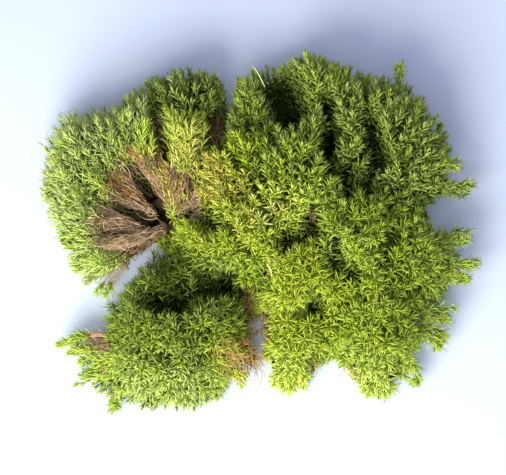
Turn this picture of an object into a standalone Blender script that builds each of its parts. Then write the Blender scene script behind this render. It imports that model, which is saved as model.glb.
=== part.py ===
"""A hand-sized clump of cushion moss, lifted from the ground and cut off flat underneath.

The clump comes apart into tufts.  On the right and in front they stand upright and lean on
each other.  On the left the clump has torn open round a hub, and five tufts fan out from the
hub with their brown stems showing.  Single shoots stand out from the edge.

Metres, +Z up.  +X is to the right, -Y is the front, and the origin is the middle of the
underside.
"""

import math

import bmesh
import bpy
from mathutils import Vector

# Room left between two tufts that lean on each other, and between a shoot and its tuft
GAP = 0.0004
SHOOT_GAP = 0.0007

# Upright tufts: where each stands, how far its tips reach along and across, the turn of
# that reach in degrees, and the height of its tips
UPRIGHT_TUFTS = {
    "lower_left_tuft": {"place": (-0.0230, -0.0280), "reach": (0.0216, 0.0193), "turn": 66, "height": 0.0270},
    "front_tuft": {"place": (0.0096, -0.0300), "reach": (0.0091, 0.0144), "turn": -14, "height": 0.0225},
    "front_inner_tuft": {"place": (0.0108, -0.0138), "reach": (0.0148, 0.0140), "turn": 0, "height": 0.0290},
    "front_right_tuft": {"place": (0.0300, -0.0264), "reach": (0.0194, 0.0131), "turn": 96, "height": 0.0265},
    "right_tuft": {"place": (0.0396, -0.0080), "reach": (0.0139, 0.0122), "turn": 112, "height": 0.0240},
    "middle_right_tuft": {"place": (0.0240, -0.0030), "reach": (0.0152, 0.0152), "turn": 0, "height": 0.0310},
    "right_back_tuft": {"place": (0.0374, 0.0216), "reach": (0.0162, 0.0140), "turn": 115, "height": 0.0265},
    "back_right_tuft": {"place": (0.0258, 0.0296), "reach": (0.0130, 0.0131), "turn": 0, "height": 0.0285},
    "middle_tuft": {"place": (0.0082, 0.0145), "reach": (0.0152, 0.0152), "turn": 0, "height": 0.0320},
    "back_tuft": {"place": (0.0134, 0.0354), "reach": (0.0130, 0.0128), "turn": 0, "height": 0.0275},
    "centre_back_tuft": {"place": (-0.0048, 0.0348), "reach": (0.0090, 0.0092), "turn": 0, "height": 0.0235},
    "centre_left_tuft": {"place": (-0.0095, 0.0195), "reach": (0.0122, 0.0112), "turn": 0, "height": 0.0290},
    "centre_tuft": {"place": (-0.0082, -0.0010), "reach": (0.0172, 0.0158), "turn": 20, "height": 0.0310},
    "back_left_tuft": {"place": (-0.0218, 0.0366), "reach": (0.0130, 0.0078), "turn": 0, "height": 0.0200},
}

# Levels of an upright tuft, from the cut underside to the crown: the part of the full reach,
# the height up the side as a part of the shoulder, and then up the crown as a part of the rest
UNDERSIDE_REACH = 0.80
SIDE_LEVELS = ((0.97, 0.35), (1.00, 0.75))
CROWN_LEVELS = ((0.93, 0.30), (0.74, 0.72), (0.42, 0.94))
FREE_SHOULDER = 0.42
HELD_SHOULDER = 0.88
HELD_FROM = 0.30
TUFT_SIDES = 26

# The torn place on the left: its hub and the directions in degrees that part the fanned tufts
# from the upright ones, from the low tuft behind them, and from each other
HUB = (-0.0231, 0.0034)
SPLIT_DIRECTION = 63.7
BEHIND_FAN = 90
FANNED_TUFTS = {
    "left_front_tuft": {"from": 191, "to": 216, "crest": 0.0220},
    "left_tuft": {"from": 169, "to": 191, "crest": 0.0240},
    "left_outer_tuft": {"from": 135, "to": 169, "crest": 0.0255},
    "left_back_tuft": {"from": 107, "to": 135, "crest": 0.0245},
    "left_inner_tuft": {"from": 72, "to": 107, "crest": 0.0255},
}

# Distance from the hub to the tips, by direction in degrees
FAN_REACH = ((72, 0.0300), (106, 0.0308), (108, 0.0380), (116, 0.0366), (126, 0.0362),
             (134, 0.0392), (142, 0.0418), (152, 0.0408), (161, 0.0391), (176, 0.0360),
             (186, 0.0336), (194, 0.0323), (204, 0.0318), (216, 0.0308))

# Along a fanned tuft: the part of its reach, the top as a part of the crest, the underside
FAN_STATIONS = (
    (0.12, 0.40, 0.0000),
    (0.28, 0.46, 0.0000),
    (0.46, 0.58, 0.0000),
    (0.60, 0.82, 0.0000),
    (0.72, 0.97, 0.0000),
    (0.84, 1.00, 0.0012),
    (0.94, 0.80, 0.0035),
    (1.00, 0.50, 0.0065),
)
FAN_RAYS = 6
FAN_EDGE_DROP = 0.0012
# Degrees inside its own border at which a fanned tuft's outer corners take their reach
OWN_SIDE = 1

# Single shoots at the edge: the tuft they stand on, the direction from its middle, how far
# they reach past it, the direction they turn to, and the heights of the foot and the tip
SIDE_SHOOTS = {
    "back_stray_shoot": {"tuft": "right_back_tuft", "at": 88, "length": 0.0088, "towards": 80,
                         "foot": 0.0140, "tip": 0.0170, "thickness": 0.0012},
    "right_back_shoot": {"tuft": "right_back_tuft", "at": -16, "length": 0.0038, "towards": 8,
                         "foot": 0.0120, "tip": 0.0130, "thickness": 0.0015},
    "notch_shoot": {"tuft": "right_back_tuft", "at": -38, "length": 0.0085, "towards": 12,
                    "foot": 0.0100, "tip": 0.0110, "thickness": 0.0016},
    "right_upper_shoot": {"tuft": "right_tuft", "at": 22, "length": 0.0062, "towards": 4,
                          "foot": 0.0110, "tip": 0.0130, "thickness": 0.0024},
    "right_long_shoot": {"tuft": "right_tuft", "at": -5, "length": 0.0088, "towards": 5,
                         "foot": 0.0100, "tip": 0.0115, "thickness": 0.0013},
    "right_lower_shoot": {"tuft": "right_tuft", "at": -26, "length": 0.0052, "towards": -2,
                          "foot": 0.0090, "tip": 0.0095, "thickness": 0.0018},
    "front_right_long_shoot": {"tuft": "front_right_tuft", "at": 16, "length": 0.0070, "towards": -12,
                               "foot": 0.0090, "tip": 0.0085, "thickness": 0.0022},
    "front_right_low_shoot": {"tuft": "front_right_tuft", "at": -6, "length": 0.0080, "towards": -48,
                              "foot": 0.0070, "tip": 0.0055, "thickness": 0.0018},
    "front_stray_shoot": {"tuft": "front_right_tuft", "at": -43, "length": 0.0066, "towards": -100,
                          "foot": 0.0060, "tip": 0.0045, "thickness": 0.0011},
    "left_side_shoot": {"tuft": "lower_left_tuft", "at": 183, "length": 0.0118, "towards": 189,
                        "foot": 0.0070, "tip": 0.0065, "thickness": 0.0030},
    "left_low_shoot": {"tuft": "lower_left_tuft", "at": 204, "length": 0.0085, "towards": 192,
                       "foot": 0.0070, "tip": 0.0060, "thickness": 0.0030},
    "left_stray_shoot": {"tuft": "lower_left_tuft", "at": 223, "length": 0.0075, "towards": 255,
                         "foot": 0.0050, "tip": 0.0040, "thickness": 0.0011},
    "rusty_side_shoot": {"tuft": "lower_left_tuft", "at": -31, "length": 0.0060, "towards": -50,
                         "foot": 0.0080, "tip": 0.0055, "thickness": 0.0018},
}

# Two twigs that trail from the side of the left front tuft into the gap below it
TRAILING_TWIGS = {
    "long_twig": {"along": 0.0185, "length": 0.0125, "towards": 237, "foot": 0.0060,
                  "tip": 0.0050, "thickness": 0.0009},
    "short_twig": {"along": 0.0215, "length": 0.0098, "towards": 231, "foot": 0.0095,
                   "tip": 0.0085, "thickness": 0.0008},
}
SHOOT_POINTS = 7
SHOOT_WIDTHS = (0.45, 0.60, 0.85, 1.00, 0.98, 0.75, 0.30)

# Colours as linear red, green, blue
MOSS_GREEN = (0.16, 0.27, 0.03)
FAN_GREEN = (0.22, 0.30, 0.07)
SHADE_GREEN = (0.09, 0.17, 0.02)
STEM_BROWN = (0.24, 0.13, 0.06)
MOSS_ROUGHNESS = 0.65


def clear_scene():
    for item in list(bpy.data.objects):
        bpy.data.objects.remove(item, do_unlink=True)


def moss_material(name, colour):
    material = bpy.data.materials.new(name)
    material.use_nodes = True
    shader = material.node_tree.nodes["Principled BSDF"]
    shader.inputs["Base Color"].default_value = (*colour, 1.0)
    shader.inputs["Roughness"].default_value = MOSS_ROUGHNESS
    shader.inputs["Metallic"].default_value = 0.0
    return material


def heading(degrees):
    """A flat unit vector, counted from +X towards +Y."""
    angle = math.radians(degrees)
    return Vector((math.cos(angle), math.sin(angle)))


def interpolate(pairs, value):
    """The straight-line value between the two listed pairs that value lies between."""
    for (x0, y0), (x1, y1) in zip(pairs, pairs[1:]):
        if value <= x1:
            part = max(0.0, (value - x0) / (x1 - x0))
            return y0 + (y1 - y0) * part
    return pairs[-1][1]


def free_reach(tuft, degrees):
    """How far an upright tuft's tips reach in a direction with nothing beside it."""
    along, across = tuft["reach"]
    angle = math.radians(degrees - tuft["turn"])
    return along * across / math.hypot(across * math.cos(angle), along * math.sin(angle))


def size_of(tuft):
    return sum(tuft["reach"]) / 2


def neighbour_lines(name):
    """The straight borders that keep a tuft off its neighbours: a point and an inward normal."""
    tuft = UPRIGHT_TUFTS[name]
    place = Vector(tuft["place"])
    hub = Vector(HUB)
    lines = []
    for other_name, other in UPRIGHT_TUFTS.items():
        if other_name == name:
            continue
        across = Vector(other["place"]) - place
        distance = across.length
        share = (distance ** 2 + size_of(tuft) ** 2 - size_of(other) ** 2) / (2 * distance)
        direction = across.normalized()
        lines.append((place + direction * (share - GAP / 2), -direction))
    if name == "back_left_tuft":
        behind = heading(BEHIND_FAN)
        lines.append((hub + behind * (interpolate(FAN_REACH, BEHIND_FAN) + GAP), behind))
        beside_fan = heading(FANNED_TUFTS["left_back_tuft"]["from"] - 90)
    elif name == "lower_left_tuft":
        beside_fan = heading(FANNED_TUFTS["left_front_tuft"]["to"] + 90)
    else:
        beside_fan = heading(SPLIT_DIRECTION - 90)
    lines.append((hub + beside_fan * GAP / 2, beside_fan))
    return lines


def held_reach(name, degrees):
    """How far an upright tuft's tips reach before they meet a neighbour."""
    tuft = UPRIGHT_TUFTS[name]
    place = Vector(tuft["place"])
    direction = heading(degrees)
    reach = free_reach(tuft, degrees)
    for point, inward in neighbour_lines(name):
        closing = -direction.dot(inward)
        if closing > 0:
            reach = min(reach, (place - point).dot(inward) / closing)
    return reach


def held_share(name, degrees, reach):
    """From 0 where the side of a tuft is free to 1 where a neighbour holds it upright."""
    cut_short = 1 - reach / free_reach(UPRIGHT_TUFTS[name], degrees)
    return min(1.0, cut_short / HELD_FROM)


def shoulder_height(name, held):
    return UPRIGHT_TUFTS[name]["height"] * (FREE_SHOULDER + (HELD_SHOULDER - FREE_SHOULDER) * held)


def side_part(name, degrees, z):
    """The part of its full reach that a tuft's side has at a height, because it is undercut."""
    reach = held_reach(name, degrees)
    shoulder = shoulder_height(name, held_share(name, degrees, reach))
    levels = [(0.0, UNDERSIDE_REACH)] + [(shoulder * rise, part) for part, rise in SIDE_LEVELS]
    return interpolate(levels, z)


def add_object(name, mesh, material):
    item = bpy.data.objects.new(name, mesh)
    item.data.materials.append(material)
    bpy.context.scene.collection.objects.link(item)
    return item


def close_mesh(bm, name):
    """Turn the faces outwards and shade them smooth."""
    bmesh.ops.recalc_face_normals(bm, faces=bm.faces)
    mesh = bpy.data.meshes.new(name)
    bm.to_mesh(mesh)
    bm.free()
    mesh.shade_smooth()
    return mesh


def bridge(bm, lower, upper):
    """Quads between two rings with the same number of corners."""
    count = len(lower)
    for i in range(count):
        following = (i + 1) % count
        bm.faces.new((lower[i], lower[following], upper[following], upper[i]))


def upright_tuft(name):
    """A dome that stops where its neighbours begin, with a flat cut underside."""
    tuft = UPRIGHT_TUFTS[name]
    place = Vector(tuft["place"])
    height = tuft["height"]
    rays = []
    for i in range(TUFT_SIDES):
        degrees = 360 * i / TUFT_SIDES
        reach = held_reach(name, degrees)
        held = held_share(name, degrees, reach)
        rays.append((heading(degrees), reach, held, shoulder_height(name, held)))

    bm = bmesh.new()

    def ring(level):
        corners = []
        for direction, reach, held, shoulder in rays:
            part, z = level(held, shoulder)
            spot = place + direction * reach * part
            corners.append(bm.verts.new((spot.x, spot.y, z)))
        return corners

    rings = [ring(lambda held, shoulder: (UNDERSIDE_REACH + (1 - UNDERSIDE_REACH) * held, 0.0))]
    for part, rise in SIDE_LEVELS:
        rings.append(ring(lambda held, shoulder: (part + (1 - part) * held, shoulder * rise)))
    for part, rise in CROWN_LEVELS:
        rings.append(ring(lambda held, shoulder: (part, shoulder + (height - shoulder) * rise)))
    for lower, upper in zip(rings, rings[1:]):
        bridge(bm, lower, upper)
    bm.faces.new(rings[0])
    crown = bm.verts.new((place.x, place.y, height))
    for i, corner in enumerate(rings[-1]):
        bm.faces.new((corner, rings[-1][(i + 1) % TUFT_SIDES], crown))
    return close_mesh(bm, name)


def fanned_tuft(name):
    """A wedge from the hub out to the tips: low brown stems first, then the raised green rim."""
    tuft = FANNED_TUFTS[name]
    hub = Vector(HUB)
    bm = bmesh.new()
    tops = []
    undersides = []
    for i in range(FAN_RAYS):
        across = i / (FAN_RAYS - 1)
        degrees = tuft["from"] + (tuft["to"] - tuft["from"]) * across
        inset = GAP * (0.5 - across)
        edge_drop = FAN_EDGE_DROP if i in (0, FAN_RAYS - 1) else 0.0
        reach = interpolate(FAN_REACH, min(max(degrees, tuft["from"] + OWN_SIDE), tuft["to"] - OWN_SIDE))
        base = hub + heading(degrees + 90) * inset
        top_row = []
        under_row = []
        for part, rise, underside in FAN_STATIONS:
            spot = base + heading(degrees) * reach * part
            top_row.append(bm.verts.new((spot.x, spot.y, tuft["crest"] * rise - edge_drop)))
            under_row.append(bm.verts.new((spot.x, spot.y, underside)))
        tops.append(top_row)
        undersides.append(under_row)
    for rows in (tops, undersides):
        for row, following in zip(rows, rows[1:]):
            for j in range(len(row) - 1):
                bm.faces.new((row[j], row[j + 1], following[j + 1], following[j]))
    for top_row, under_row in ((tops[0], undersides[0]), (tops[-1], undersides[-1])):
        for j in range(len(top_row) - 1):
            bm.faces.new((top_row[j], top_row[j + 1], under_row[j + 1], under_row[j]))
    for j in (0, -1):
        for i in range(FAN_RAYS - 1):
            bm.faces.new((tops[i][j], tops[i + 1][j], undersides[i + 1][j], undersides[i][j]))
    return close_mesh(bm, name)


def shoot_curve(name, foot, facing, shape):
    """One leafy shoot as a tapering tube that turns from facing to its own direction."""
    curve = bpy.data.curves.new(name, "CURVE")
    curve.dimensions = "3D"
    curve.bevel_depth = shape["thickness"]
    curve.bevel_resolution = 1
    curve.use_fill_caps = True
    spline = curve.splines.new("POLY")
    spline.points.add(SHOOT_POINTS - 1)
    turn = (shape["towards"] - facing + 180) % 360 - 180
    step = shape["length"] / (SHOOT_POINTS - 1)
    spot = Vector(foot)
    for i in range(SHOOT_POINTS):
        part = i / (SHOOT_POINTS - 1)
        z = shape["foot"] + (shape["tip"] - shape["foot"]) * part
        spline.points[i].co = (spot.x, spot.y, z, 1.0)
        spline.points[i].radius = SHOOT_WIDTHS[i]
        spot = spot + heading(facing + turn * min(1.0, 2 * part)) * step
    return curve


def side_shoot(name):
    shape = SIDE_SHOOTS[name]
    tuft = shape["tuft"]
    place = Vector(UPRIGHT_TUFTS[tuft]["place"])
    top_of_foot = shape["foot"] + shape["thickness"]
    clear = held_reach(tuft, shape["at"]) * side_part(tuft, shape["at"], top_of_foot) + SHOOT_GAP
    return shoot_curve(name, place + heading(shape["at"]) * clear, shape["at"], shape)


def trailing_twig(name):
    shape = TRAILING_TWIGS[name]
    side = FANNED_TUFTS["left_front_tuft"]["to"]
    away = side + 90
    clear = GAP + shape["thickness"]
    foot = Vector(HUB) + heading(side) * shape["along"] + heading(away) * clear
    return shoot_curve(name, foot, shape["towards"], shape)


def centre_on_origin():
    """Move every piece so that the middle of the clump's length and depth is the origin."""
    bpy.context.view_layer.update()
    corners = [item.matrix_world @ Vector(corner)
               for item in bpy.data.objects for corner in item.bound_box]
    middle = Vector((0.0, 0.0, 0.0))
    for axis in (0, 1):
        values = [corner[axis] for corner in corners]
        middle[axis] = (min(values) + max(values)) / 2
    for item in bpy.data.objects:
        item.location -= middle


def build():
    clear_scene()
    colours = {"back_left_tuft": SHADE_GREEN, "centre_back_tuft": SHADE_GREEN}
    for name in UPRIGHT_TUFTS:
        add_object(name, upright_tuft(name), moss_material(name, colours.get(name, MOSS_GREEN)))
    for name in FANNED_TUFTS:
        add_object(name, fanned_tuft(name), moss_material(name, FAN_GREEN))
    for name in SIDE_SHOOTS:
        add_object(name, side_shoot(name), moss_material(name, MOSS_GREEN))
    for name in TRAILING_TWIGS:
        add_object(name, trailing_twig(name), moss_material(name, STEM_BROWN))
    centre_on_origin()


build()
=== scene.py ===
import math

import bmesh
import bpy
import numpy as np
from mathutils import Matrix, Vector
from mathutils.bvhtree import BVHTree


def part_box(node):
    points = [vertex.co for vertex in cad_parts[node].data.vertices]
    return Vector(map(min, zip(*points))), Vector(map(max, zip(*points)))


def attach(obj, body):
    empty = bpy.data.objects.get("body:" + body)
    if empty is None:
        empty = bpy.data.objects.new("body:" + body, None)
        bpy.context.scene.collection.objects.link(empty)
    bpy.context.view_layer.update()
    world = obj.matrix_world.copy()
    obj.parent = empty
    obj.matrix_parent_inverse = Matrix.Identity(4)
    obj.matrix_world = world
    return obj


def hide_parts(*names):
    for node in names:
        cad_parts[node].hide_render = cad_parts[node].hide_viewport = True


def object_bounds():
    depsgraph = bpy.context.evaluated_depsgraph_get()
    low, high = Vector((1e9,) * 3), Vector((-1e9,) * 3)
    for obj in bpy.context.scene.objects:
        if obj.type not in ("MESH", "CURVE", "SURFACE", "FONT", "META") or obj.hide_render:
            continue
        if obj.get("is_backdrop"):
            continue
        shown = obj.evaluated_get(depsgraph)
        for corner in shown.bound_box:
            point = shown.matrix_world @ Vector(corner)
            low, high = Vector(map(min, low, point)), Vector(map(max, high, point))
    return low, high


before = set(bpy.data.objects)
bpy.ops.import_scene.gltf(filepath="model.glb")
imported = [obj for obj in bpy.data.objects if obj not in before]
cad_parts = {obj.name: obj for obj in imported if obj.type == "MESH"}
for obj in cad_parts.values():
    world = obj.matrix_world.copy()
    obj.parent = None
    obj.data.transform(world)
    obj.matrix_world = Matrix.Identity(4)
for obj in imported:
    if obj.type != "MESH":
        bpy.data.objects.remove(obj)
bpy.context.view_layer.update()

dice = np.random.default_rng(20)
mapName = "OFBake"  # every moss piece keeps its tone and its place on the leaf in this UV map

# camera and room

cameraView = {
    "elevation": 80.0,  # degrees above the floor
    "distance": 0.60,
    "perPixel": 0.0002715,  # metres to a pixel at the aim
    "pictureWidth": 506,
    "aim": (-0.0034, -0.0013, 0.010),
    "sensor": 36.0,
}

room = {
    "floorSize": 1.6,
    "floorColour": (0.665, 0.745, 0.885),
    "skyColour": (0.72, 0.735, 0.95),
    "skyStrength": 0.50,
    "keyPlace": (-0.190, -0.375, 0.335),
    "keySize": 0.42,
    "keyPower": 5.1,
    "keyColour": (1.0, 0.97, 0.90),
    "topPlace": (0.0, -0.20, 0.75),
    "topSize": 0.40,
    "topPower": 1.1,
}


def placeCamera():
    view = cameraView
    angle = math.radians(view["elevation"])
    aim = Vector(view["aim"])
    away = Vector((0.0, -math.cos(angle), math.sin(angle)))
    data = bpy.data.cameras.new("photoCamera")
    data.sensor_width = view["sensor"]
    span = view["perPixel"] * view["pictureWidth"]
    data.lens = view["sensor"] * view["distance"] / span
    data.clip_start = 0.01
    camera = bpy.data.objects.new("photoCamera", data)
    camera.location = aim + away * view["distance"]
    camera.rotation_euler = (math.pi / 2 - angle, 0.0, 0.0)
    bpy.context.scene.collection.objects.link(camera)
    bpy.context.scene.camera = camera


def addLight(name, place, size, power, colour):
    data = bpy.data.lights.new(name, "AREA")
    data.shape = "DISK"
    data.size = size
    data.energy = power
    data.color = colour
    light = bpy.data.objects.new(name, data)
    light.location = place
    light.rotation_euler = (-Vector(place)).to_track_quat("-Z", "Y").to_euler()
    bpy.context.scene.collection.objects.link(light)


def deselectAll():
    if bpy.context.object and bpy.context.object.mode != "OBJECT":
        bpy.ops.object.mode_set(mode="OBJECT")
    bpy.ops.object.select_all(action="DESELECT")


def setUpRoom():
    world = bpy.data.worlds.new("room")
    world.use_nodes = True
    sky = world.node_tree.nodes["Background"]
    sky.inputs["Color"].default_value = (*room["skyColour"], 1.0)
    sky.inputs["Strength"].default_value = room["skyStrength"]
    bpy.context.scene.world = world
    bpy.context.scene.view_settings.view_transform = "Standard"
    addLight("keyLight", room["keyPlace"], room["keySize"], room["keyPower"], room["keyColour"])
    addLight("topLight", room["topPlace"], room["topSize"], room["topPower"], room["skyColour"])
    deselectAll()
    bpy.ops.mesh.primitive_plane_add(size=room["floorSize"])
    floor = bpy.context.object
    floor.name = "floor"
    paint = bpy.data.materials.new("floorPaper")
    paint.use_nodes = True
    shader = paint.node_tree.nodes["Principled BSDF"]
    shader.inputs["Base Color"].default_value = (*room["floorColour"], 1.0)
    shader.inputs["Roughness"].default_value = 0.7
    floor.data.materials.append(paint)
    floor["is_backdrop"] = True


placeCamera()
setUpRoom()
print("room and camera ready")

# materials

moss = {
    # along u: what grows, from green dimmed as painted shade through yellow green to brown and old grey,
    # ending in a near-black brown for painted deep shade
    "body": (
        (0.00, (0.018, 0.036, 0.003)),
        (0.15, (0.105, 0.180, 0.007)),
        (0.24, (0.235, 0.365, 0.012)),
        (0.32, (0.310, 0.460, 0.012)),
        (0.45, (0.480, 0.600, 0.014)),
        (0.58, (0.720, 0.700, 0.080)),
        (0.68, (0.470, 0.215, 0.045)),
        (0.78, (0.210, 0.110, 0.050)),
        (0.88, (0.500, 0.330, 0.165)),
        (1.00, (0.016, 0.010, 0.006)),
    ),
    # the same stretch at the leaf tips, which are pale of their own and also carry a painted highlight
    "tips": (
        (0.00, (0.050, 0.085, 0.015)),
        (0.15, (0.380, 0.500, 0.130)),
        (0.24, (0.760, 0.870, 0.330)),
        (0.32, (0.680, 0.830, 0.200)),
        (0.45, (0.760, 0.890, 0.150)),
        (0.58, (0.900, 0.860, 0.360)),
        (0.68, (0.740, 0.450, 0.190)),
        (0.78, (0.470, 0.310, 0.180)),
        (0.88, (0.880, 0.650, 0.420)),
        (1.00, (0.060, 0.036, 0.022)),
    ),
}


def addNode(tree, kind, **settings):
    node = tree.nodes.new(kind)
    for key, value in settings.items():
        setattr(node, key, value)
    return node


def wire(tree, *wires):  # each runs from a node's output to another one's input
    for source, output, target, socket in wires:
        tree.links.new(source.outputs[output], target.inputs[socket])


def fillRamp(node, stops):
    ramp = node.color_ramp
    while len(ramp.elements) < len(stops):
        ramp.elements.new(0.5)
    for element, (place, colour) in zip(ramp.elements, stops):
        element.position = place
        element.color = (*colour, 1.0)


def buildPaletteGroup():
    tree = bpy.data.node_groups.new("mossPalette", "ShaderNodeTree")
    tree.interface.new_socket("Place", in_out="INPUT", socket_type="NodeSocketVector")
    tree.interface.new_socket("Mottle", in_out="INPUT", socket_type="NodeSocketFloat")
    tree.interface.new_socket("Colour", in_out="OUTPUT", socket_type="NodeSocketColor")
    start = addNode(tree, "NodeGroupInput")
    end = addNode(tree, "NodeGroupOutput")
    parts = addNode(tree, "ShaderNodeSeparateXYZ")
    body = addNode(tree, "ShaderNodeValToRGB")
    tips = addNode(tree, "ShaderNodeValToRGB")
    fillRamp(body, moss["body"])
    fillRamp(tips, moss["tips"])
    blend = addNode(tree, "ShaderNodeMix", data_type="RGBA")
    # painted shade: the foot of each leaf, where v is low, is dimmed
    shade = addNode(tree, "ShaderNodeMapRange")
    shade.inputs["From Max"].default_value = 0.35
    shade.inputs["To Min"].default_value = 0.80
    flecks = addNode(tree, "ShaderNodeTexNoise")
    flecks.inputs["Scale"].default_value = 900.0
    flecks.inputs["Detail"].default_value = 2.0
    place = addNode(tree, "ShaderNodeTexCoord")
    patch = addNode(tree, "ShaderNodeMapRange")
    patch.inputs["To Min"].default_value = 0.75
    patch.inputs["To Max"].default_value = 1.25
    strength = addNode(tree, "ShaderNodeMix", data_type="FLOAT")
    strength.inputs["A"].default_value = 1.0
    both = addNode(tree, "ShaderNodeMath", operation="MULTIPLY")
    darken = addNode(tree, "ShaderNodeVectorMath", operation="SCALE")
    wire(tree,
         (start, "Place", parts, "Vector"), (parts, "X", body, "Fac"), (parts, "X", tips, "Fac"),
         (parts, "Y", blend, "Factor"), (body, "Color", blend, "A"), (tips, "Color", blend, "B"),
         (parts, "Y", shade, "Value"), (place, "Object", flecks, "Vector"), (flecks, "Fac", patch, "Value"),
         (start, "Mottle", strength, "Factor"), (patch, "Result", strength, "B"),
         (shade, "Result", both, 0), (strength, "Result", both, 1),
         (blend, "Result", darken, 0), (both, "Value", darken, "Scale"), (darken, "Vector", end, "Colour"))
    return tree


paletteGroup = buildPaletteGroup()

finishes = {
    "leafGreen": {"mottle": 0.5, "roughness": 0.5, "bumpScale": 2500.0, "bumpHeight": 0.00004},
    "stemBrown": {"mottle": 0.9, "roughness": 0.7, "bumpScale": 3500.0, "bumpHeight": 0.00008},
    "matFelt": {"mottle": 1.0, "roughness": 0.85, "bumpScale": 1500.0, "bumpHeight": 0.00025},
}
glossRange = 0.12  # how far the roughness goes up and down


def mossMaterial(name, finish):
    material = bpy.data.materials.new(name)
    material.use_nodes = True
    tree = material.node_tree
    shader = tree.nodes["Principled BSDF"]
    shader.inputs["Specular IOR Level"].default_value = 0.12
    place = addNode(tree, "ShaderNodeUVMap", uv_map=mapName)
    palette = addNode(tree, "ShaderNodeGroup", node_tree=paletteGroup)
    palette.inputs["Mottle"].default_value = finish["mottle"]
    where = addNode(tree, "ShaderNodeTexCoord")
    grain = addNode(tree, "ShaderNodeTexNoise")
    grain.inputs["Scale"].default_value = finish["bumpScale"]
    grain.inputs["Detail"].default_value = 3.0
    bump = addNode(tree, "ShaderNodeBump")
    bump.inputs["Strength"].default_value = 0.6
    bump.inputs["Distance"].default_value = finish["bumpHeight"]
    gloss = addNode(tree, "ShaderNodeMapRange")
    gloss.inputs["To Min"].default_value = finish["roughness"] - glossRange
    gloss.inputs["To Max"].default_value = finish["roughness"] + glossRange
    wire(tree,
         (place, "UV", palette, "Place"), (palette, "Colour", shader, "Base Color"),
         (where, "Object", grain, "Vector"), (grain, "Fac", bump, "Height"), (grain, "Fac", gloss, "Value"),
         (gloss, "Result", shader, "Roughness"), (bump, "Normal", shader, "Normal"))
    return material


mossMaterials = [mossMaterial(name, finish) for name, finish in finishes.items()]
leafSlot, stemSlot, feltSlot = range(3)

cutFace = {"dotScale": 1300.0, "dotSize": 0.32, "dotEdge": 1.4, "below": 0.0004,
           "gap": (0.040, 0.024, 0.013), "end": (0.300, 0.200, 0.105)}


def buildCutGroup():  # the cut stems on the underside, and where it is
    tree = bpy.data.node_groups.new("cutUnderside", "ShaderNodeTree")
    tree.interface.new_socket("Colour", in_out="OUTPUT", socket_type="NodeSocketColor")
    tree.interface.new_socket("Share", in_out="OUTPUT", socket_type="NodeSocketFloat")
    end = addNode(tree, "NodeGroupOutput")
    place = addNode(tree, "ShaderNodeTexCoord")
    height = addNode(tree, "ShaderNodeSeparateXYZ")
    below = addNode(tree, "ShaderNodeMath", operation="LESS_THAN")
    below.inputs[1].default_value = cutFace["below"]
    dots = addNode(tree, "ShaderNodeTexVoronoi")
    dots.inputs["Scale"].default_value = cutFace["dotScale"]
    edge = addNode(tree, "ShaderNodeMapRange")
    edge.inputs["From Min"].default_value = cutFace["dotSize"]
    edge.inputs["From Max"].default_value = cutFace["dotSize"] * cutFace["dotEdge"]
    edge.inputs["To Min"].default_value = 1.0
    edge.inputs["To Max"].default_value = 0.0
    blend = addNode(tree, "ShaderNodeMix", data_type="RGBA")
    blend.inputs["A"].default_value = (*cutFace["gap"], 1.0)
    blend.inputs["B"].default_value = (*cutFace["end"], 1.0)
    wire(tree,
         (place, "Object", height, "Vector"), (height, "Z", below, 0), (below, "Value", end, "Share"),
         (place, "Object", dots, "Vector"), (dots, "Distance", edge, "Value"),
         (edge, "Result", blend, "Factor"), (blend, "Result", end, "Colour"))
    return tree


def paintUnderside(material):
    tree = material.node_tree
    shader = tree.nodes["Principled BSDF"]
    upper = shader.inputs["Base Color"].links[0].from_socket
    cut = addNode(tree, "ShaderNodeGroup", node_tree=buildCutGroup())
    blend = addNode(tree, "ShaderNodeMix", data_type="RGBA")
    tree.links.new(upper, blend.inputs["A"])
    wire(tree, (cut, "Share", blend, "Factor"), (cut, "Colour", blend, "B"),
         (blend, "Result", shader, "Base Color"))


paintUnderside(mossMaterials[feltSlot])
print("materials ready")

# one leaf and one length of stem, which all the others are copies of


def startForm(addShape, length, **settings):  # from the origin along +Y, opened for editing
    deselectAll()
    addShape(depth=length, location=(0.0, length / 2, 0.0), rotation=(-math.pi / 2, 0.0, 0.0), **settings)
    bpy.ops.object.transform_apply(location=True, rotation=True, scale=True)
    bpy.ops.object.mode_set(mode="EDIT")


def selectWhere(test):
    shape = bmesh.from_edit_mesh(bpy.context.object.data)
    for corner in shape.verts:
        corner.select = test(corner.co)
    shape.select_flush_mode()
    bmesh.update_edit_mesh(bpy.context.object.data)


def takeShape(item):
    mesh = item.data
    corners = np.array([corner.co[:] for corner in mesh.vertices])
    faces = [tuple(face.vertices) for face in mesh.polygons]
    bpy.data.objects.remove(item)
    return {"corners": corners, "faces": faces}


leafShape = {"wideFrom": 0.22, "wideTo": 0.62, "shoulder": 0.72, "cup": 0.16, "keel": 0.10, "lowWide": 0.38}


def isRim(co):  # not one of the two ends on the middle line
    return math.hypot(co.x, co.z) > 0.1


def shapeKeel():
    selectWhere(lambda co: co.z < -0.1)
    bpy.ops.transform.translate(value=(0.0, 0.0, 0.5 - leafShape["keel"]))
    selectWhere(lambda co: abs(co.x) > 0.1)
    bpy.ops.transform.translate(value=(0.0, 0.0, leafShape["cup"] - 0.25))
    bpy.ops.object.mode_set(mode="OBJECT")


def modelTopLeaf():  # from the foot at the origin to a point at one, the keel down
    startForm(bpy.ops.mesh.primitive_cylinder_add, 1.0, vertices=3, radius=0.5, end_fill_type="TRIFAN")
    selectWhere(lambda co: isRim(co) and co.y < 0.5)
    bpy.ops.transform.translate(value=(0.0, leafShape["wideFrom"], 0.0))
    selectWhere(lambda co: isRim(co) and co.y > 0.5)
    bpy.ops.transform.translate(value=(0.0, leafShape["wideTo"] - 1.0, 0.0))
    bpy.ops.transform.resize(value=(leafShape["shoulder"], 1.0, 1.0))
    shapeKeel()
    return takeShape(bpy.context.object)


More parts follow.
